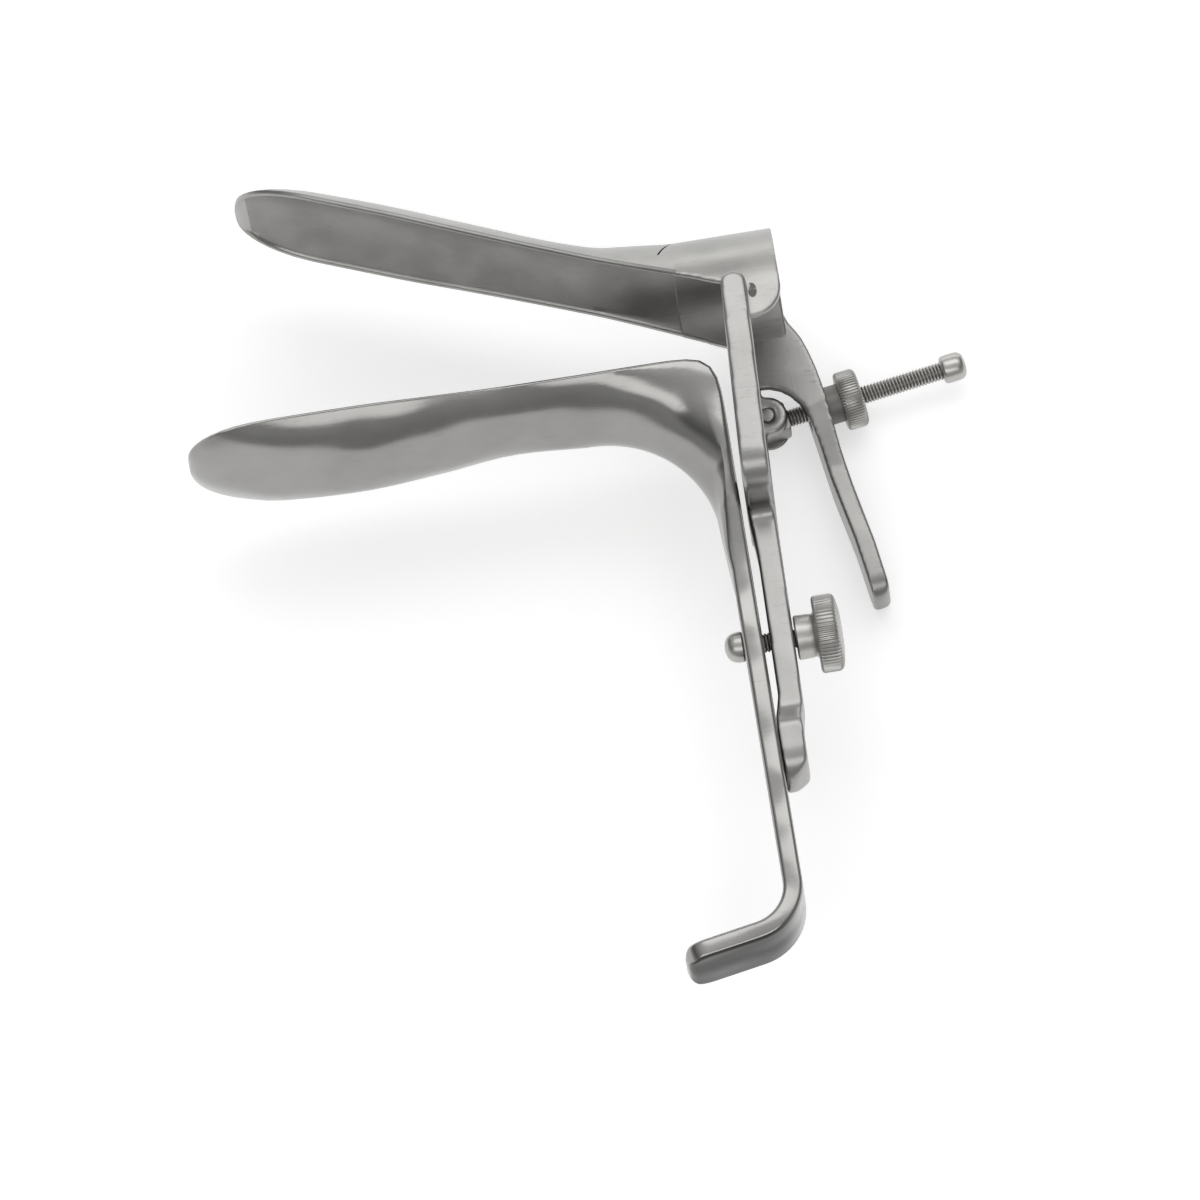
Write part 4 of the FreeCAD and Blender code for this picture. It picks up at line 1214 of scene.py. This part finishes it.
@dataclass
class AdjustingScrew:
    """The swivel, the threaded rod with its domed stop, and the knurled nut."""

    rod: float = 1.9
    nut_start: float = 12.35
    collar: float = 4.0
    collar_long: float = 3.3
    rim: float = 6.15
    rim_long: float = 4.4
    long: float = 42.6
    stop: float = 2.95
    stop_long: float = 5.0
    thread_start: float = 2.2
    thread_short: float = 1.6
    thread_root: float = 1.52
    rib_depth: float = 0.34

    def build(self) -> None:
        """Make the screw's pieces from the swivel outwards."""
        dark = DARK_JOINT.material()
        pin = Bench.finished_copy("swivel_pin_finished", "swivel_pin", 0.3, 3)
        join("swivel pin", pin, "yoke", dark)
        block = Bench.finished_copy("swivel_block_finished", "swivel_block", 0.5, 3)
        join("swivel block", block, "rod", dark)
        rod = threaded("adjusting_rod_thread", AT_SWIVEL, self.thread_start, self.long - self.thread_short,
                       self.rod, self.thread_root)
        Bench.smooth(rod, 50)
        join("adjusting rod", rod, "rod", THREAD_ROD.material(), ["adjusting_rod"])
        start, end = self.long - self.stop_long, self.long
        stop = Bench.turned("rod_stop_dome", AT_SWIVEL, (
            (start + 0.25, 0), (start + 0.25, 1.95), (start, 2.1), (start, 2.45), (start + 0.12, 2.68),
            (start + 0.45, 2.85), (start + 1.0, 2.93), (start + 2.0, self.stop), (end - 1.9, self.stop),
            (end - 1.2, 2.85), (end - 0.65, 2.55), (end - 0.25, 2.0), (end - 0.06, 1.2), (end, 0)),
            ROUND_FLATS)
        Bench.smooth(stop, 40)
        join("rod end stop", stop, "rod", TURNED_ROD.material(), ["rod_end_stop"])
        self._nut()

    def _nut(self) -> None:
        """Turn the nut and press its ribs."""
        start = self.nut_start
        step = start + self.collar_long
        end = step + self.rim_long
        bore = self.rod + RUNNING_FIT
        nut = Bench.turned("adjusting_nut_knurled", AT_SWIVEL, (
            (start + 0.3, bore), (start, bore + 0.3), (start, self.collar - 0.35), (start + 0.3, self.collar),
            (step - 0.05, self.collar), (step, self.collar + 0.05), (step, self.rim - 0.55),
            (step + 0.25, self.rim - 0.2), (step + 0.6, self.rim), (end - 0.8, self.rim),
            (end - 0.35, self.rim - 0.25), (end, self.rim - 0.75), (end + 0.02, bore + 0.9),
            (end - 0.2, bore), (start + 0.3, bore)), RIB_FLATS)
        knurl(nut, AT_SWIVEL, (step + 0.1, end - 0.2), self.rim - 0.7, self.rib_depth)
        Bench.smooth(nut, 40)
        join("adjusting nut", nut, "nut", KNURLED_NUT.material(), ["adjusting_nut"])


@dataclass
class Clamp:
    """The clamping screw through the handle's slot, and its knurled knob."""

    head: float = 3.15
    head_high: float = 3.9
    face: float = -9.85
    radius: float = 2.0
    knob_start: float = 0.85
    collar: float = 4.6
    collar_long: float = 4.2
    rim: float = 8.0
    rim_long: float = 4.9
    thread_below: float = 1.6
    thread_end: float = 9.0
    thread_root: float = 1.6
    rib_depth: float = 0.36

    def build(self) -> None:
        """Make the screw, its thread and the knob."""
        top = self.face - self.head_high
        shank = self.radius - RUNNING_FIT
        screw = Bench.turned("clamp_screw_head", AT_CLAMP, (
            (top, 0), (top + 0.08, 0.9), (top + 0.35, 1.7), (top + 0.85, 2.4), (top + 1.5, 2.85),
            (top + 2.3, 3.08), (top + 3.1, self.head), (self.face - 0.3, self.head),
            (self.face, self.head - 0.3), (self.face, shank), (self.face + 2.2, shank),
            (self.face + 2.2, 0)), ROUND_FLATS)
        Bench.smooth(screw, 40)
        join("clamp screw", screw, "yoke", TURNED_CLAMP.material(), ["clamp_screw"])
        thread = threaded("clamp_screw_thread", AT_CLAMP, self.face + self.thread_below, self.thread_end,
                          self.radius, self.thread_root)
        Bench.smooth(thread, 50)
        join("clamp thread", thread, "yoke", THREAD_CLAMP.material())
        self._knob()

    def _knob(self) -> None:
        """Turn the knob and press its ribs."""
        start = self.knob_start
        step = start + self.collar_long
        end = step + self.rim_long
        bore = self.radius + RUNNING_FIT
        knob = Bench.turned("clamp_knob_knurled", AT_CLAMP, (
            (start + 0.3, bore), (start, bore + 0.3), (start, self.collar - 0.4), (start + 0.35, self.collar),
            (step - 1.1, self.collar - 0.1), (step - 0.5, self.collar - 0.25),
            (step - 0.1, self.collar + 0.1), (step, self.collar + 0.6), (step, self.rim - 0.75),
            (step + 0.2, self.rim - 0.3),
            (step + 0.6, self.rim), (end - 1.1, self.rim), (end - 0.6, self.rim - 0.25),
            (end - 0.2, self.rim - 0.75), (end + 0.05, self.rim - 1.5), (end + 0.35, self.rim - 3.2),
            (end + 0.5, bore + 1.2), (end + 0.45, bore + 0.3), (end + 0.1, bore), (start + 0.3, bore)),
            RIB_FLATS)
        knurl(knob, AT_CLAMP, (step + 0.1, end - 0.1), self.rim - 0.9, self.rib_depth)
        Bench.smooth(knob, 40)
        join("clamp knob", knob, "knob", KNURLED_KNOB.material(), ["clamp_knob"])


@dataclass
class Studio:
    """The pale floor, the soft lights, the world and the camera."""

    tilt: float = math.radians(21.8)
    swing: float = math.radians(0.3)
    roll: float = math.radians(9.1)
    lift: float = 0.52
    distance: float = 3.0
    pixels_per_mm: float = 4.909
    frame_pixels: float = 1200.0
    middle: tuple[float, float, float] = (-37.2, -55.7, 0.0)
    lights: tuple[tuple[str, tuple[float, float, float], tuple[float, float], float], ...] = (
        ("key_softbox", (-0.1, -0.55, 0.8), (1.1, 0.4), 2.2),
        ("top_softbox", (0.1, 0.42, 0.8), (0.9, 0.4), 1.35),
        ("rear_softbox", (0.0, 1.0, 0.2), (1.6, 0.3), 2.4))
    floor_size: float = 4.0
    floor_drop: float = 0.0002
    floor_tone: float = 0.7
    ceiling_turn: float = math.radians(24)
    ceiling: tuple[tuple[float, float], ...] = (
        (0.0, 0.34), (0.42, 0.40), (0.56, 0.50), (0.66, 0.16), (0.78, 0.30), (1.0, 0.95))

    def _floor(self) -> None:
        """Lay a white floor that keeps the object's soft shadow."""
        Bench.clear()
        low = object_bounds()[0]
        bpy.ops.mesh.primitive_plane_add(size=self.floor_size, location=(0, 0, low[2] - self.floor_drop))
        floor = Bench.added("studio_floor")
        graph = Graph(bpy.data.materials.new("floor_white"))
        tone = (self.floor_tone, self.floor_tone, self.floor_tone, 1)
        surface = graph.node("ShaderNodeBsdfPrincipled", {}, {"Base Color": tone, "Roughness": 1.0})
        path = graph.node("ShaderNodeLightPath", {}, {})
        shown = Socket(graph, path.outputs["Is Camera Ray"]) + Socket(graph, path.outputs["Is Glossy Ray"])
        shown = shown + Socket(graph, path.outputs["Is Transmission Ray"])
        lift = graph.node("ShaderNodeEmission", {}, {"Color": (1, 1, 1, 1), "Strength": shown * self.lift})
        total = graph.node("ShaderNodeAddShader", {}, {0: surface.outputs[0], 1: lift.outputs[0]})
        graph.node("ShaderNodeOutputMaterial", {}, {"Surface": total.outputs[0]})
        floor.data.materials.append(graph.owner)
        floor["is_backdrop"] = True

    def _light(self, name: str, place: tuple[float, float, float], size: tuple[float, float],
               power: float) -> None:
        """Hang one soft box that faces the object.

        Args:
            name: The lamp's name.
            place: Where it hangs, in metres.
            size: Its width and height in metres.
            power: Its power in watts.
        """
        data = bpy.data.lights.new(name, "AREA")
        data.shape = "RECTANGLE"
        data.size, data.size_y = size
        data.energy = power
        lamp = bpy.data.objects.new(name, data)
        lamp.location = place
        lamp.rotation_euler = (-Vector(place)).to_track_quat("-Z", "Y").to_euler()
        lamp.visible_camera = False
        bpy.context.scene.collection.objects.link(lamp)

    def _world(self) -> None:
        """Fill the room with a soft grey that darkens towards one side of the ceiling."""
        world = bpy.data.worlds.new("soft_room")
        bpy.context.scene.world = world
        graph = Graph(world)
        source = graph.node("ShaderNodeTexCoord", {}, {})
        mapping = graph.node("ShaderNodeMapping", {}, {
            "Vector": source.outputs["Generated"], "Rotation": (self.ceiling_turn, 0, 0)})
        height = graph.axes(mapping.outputs["Vector"])[2]
        share = graph.node("ShaderNodeMapRange", {}, {"Value": height, "From Min": -1.0})
        ramp = graph.node("ShaderNodeValToRGB", {"stops": self.ceiling}, {"Fac": share.outputs["Result"]})
        back = graph.node("ShaderNodeBackground", {}, {"Color": ramp.outputs["Color"]})
        graph.node("ShaderNodeOutputWorld", {}, {"Surface": back.outputs["Background"]})

    def _camera(self) -> None:
        """Stand the camera where the photograph was taken from."""
        toward = Vector((math.sin(self.swing) * math.cos(self.tilt), -math.sin(self.tilt),
                         math.cos(self.swing) * math.cos(self.tilt)))
        right = Vector((math.cos(self.swing), 0, -math.sin(self.swing)))
        up = toward.cross(right)
        across = right * math.cos(self.roll) - up * math.sin(self.roll)
        above = right * math.sin(self.roll) + up * math.cos(self.roll)
        target = AT_HINGE.at(*self.middle)
        data = bpy.data.cameras.new("photo_camera")
        camera = bpy.data.objects.new("photo_camera", data)
        turn = Matrix((across, above, toward)).transposed().to_4x4()
        camera.matrix_world = Matrix.Translation(target + toward * self.distance) @ turn
        data.lens = data.sensor_width * self.distance / (self.frame_pixels / self.pixels_per_mm * MM)
        data.clip_start = 0.05
        bpy.context.scene.collection.objects.link(camera)
        bpy.context.scene.camera = camera

    def build(self) -> None:
        """Set the room, the lights and the camera."""
        self._floor()
        self._world()
        for light in self.lights:
            self._light(*light)
        self._camera()
        bpy.context.scene.view_settings.view_transform = "Standard"


def main() -> None:
    """Build every piece, dress it and set the studio."""
    logging.basicConfig(level=logging.INFO, format="%(message)s")
    for group in (LowerBlade(), UpperBlade(), LeverAndYoke(), AdjustingScrew(), Clamp(), Studio()):
        group.build()


if __name__ == "__main__":
    main()
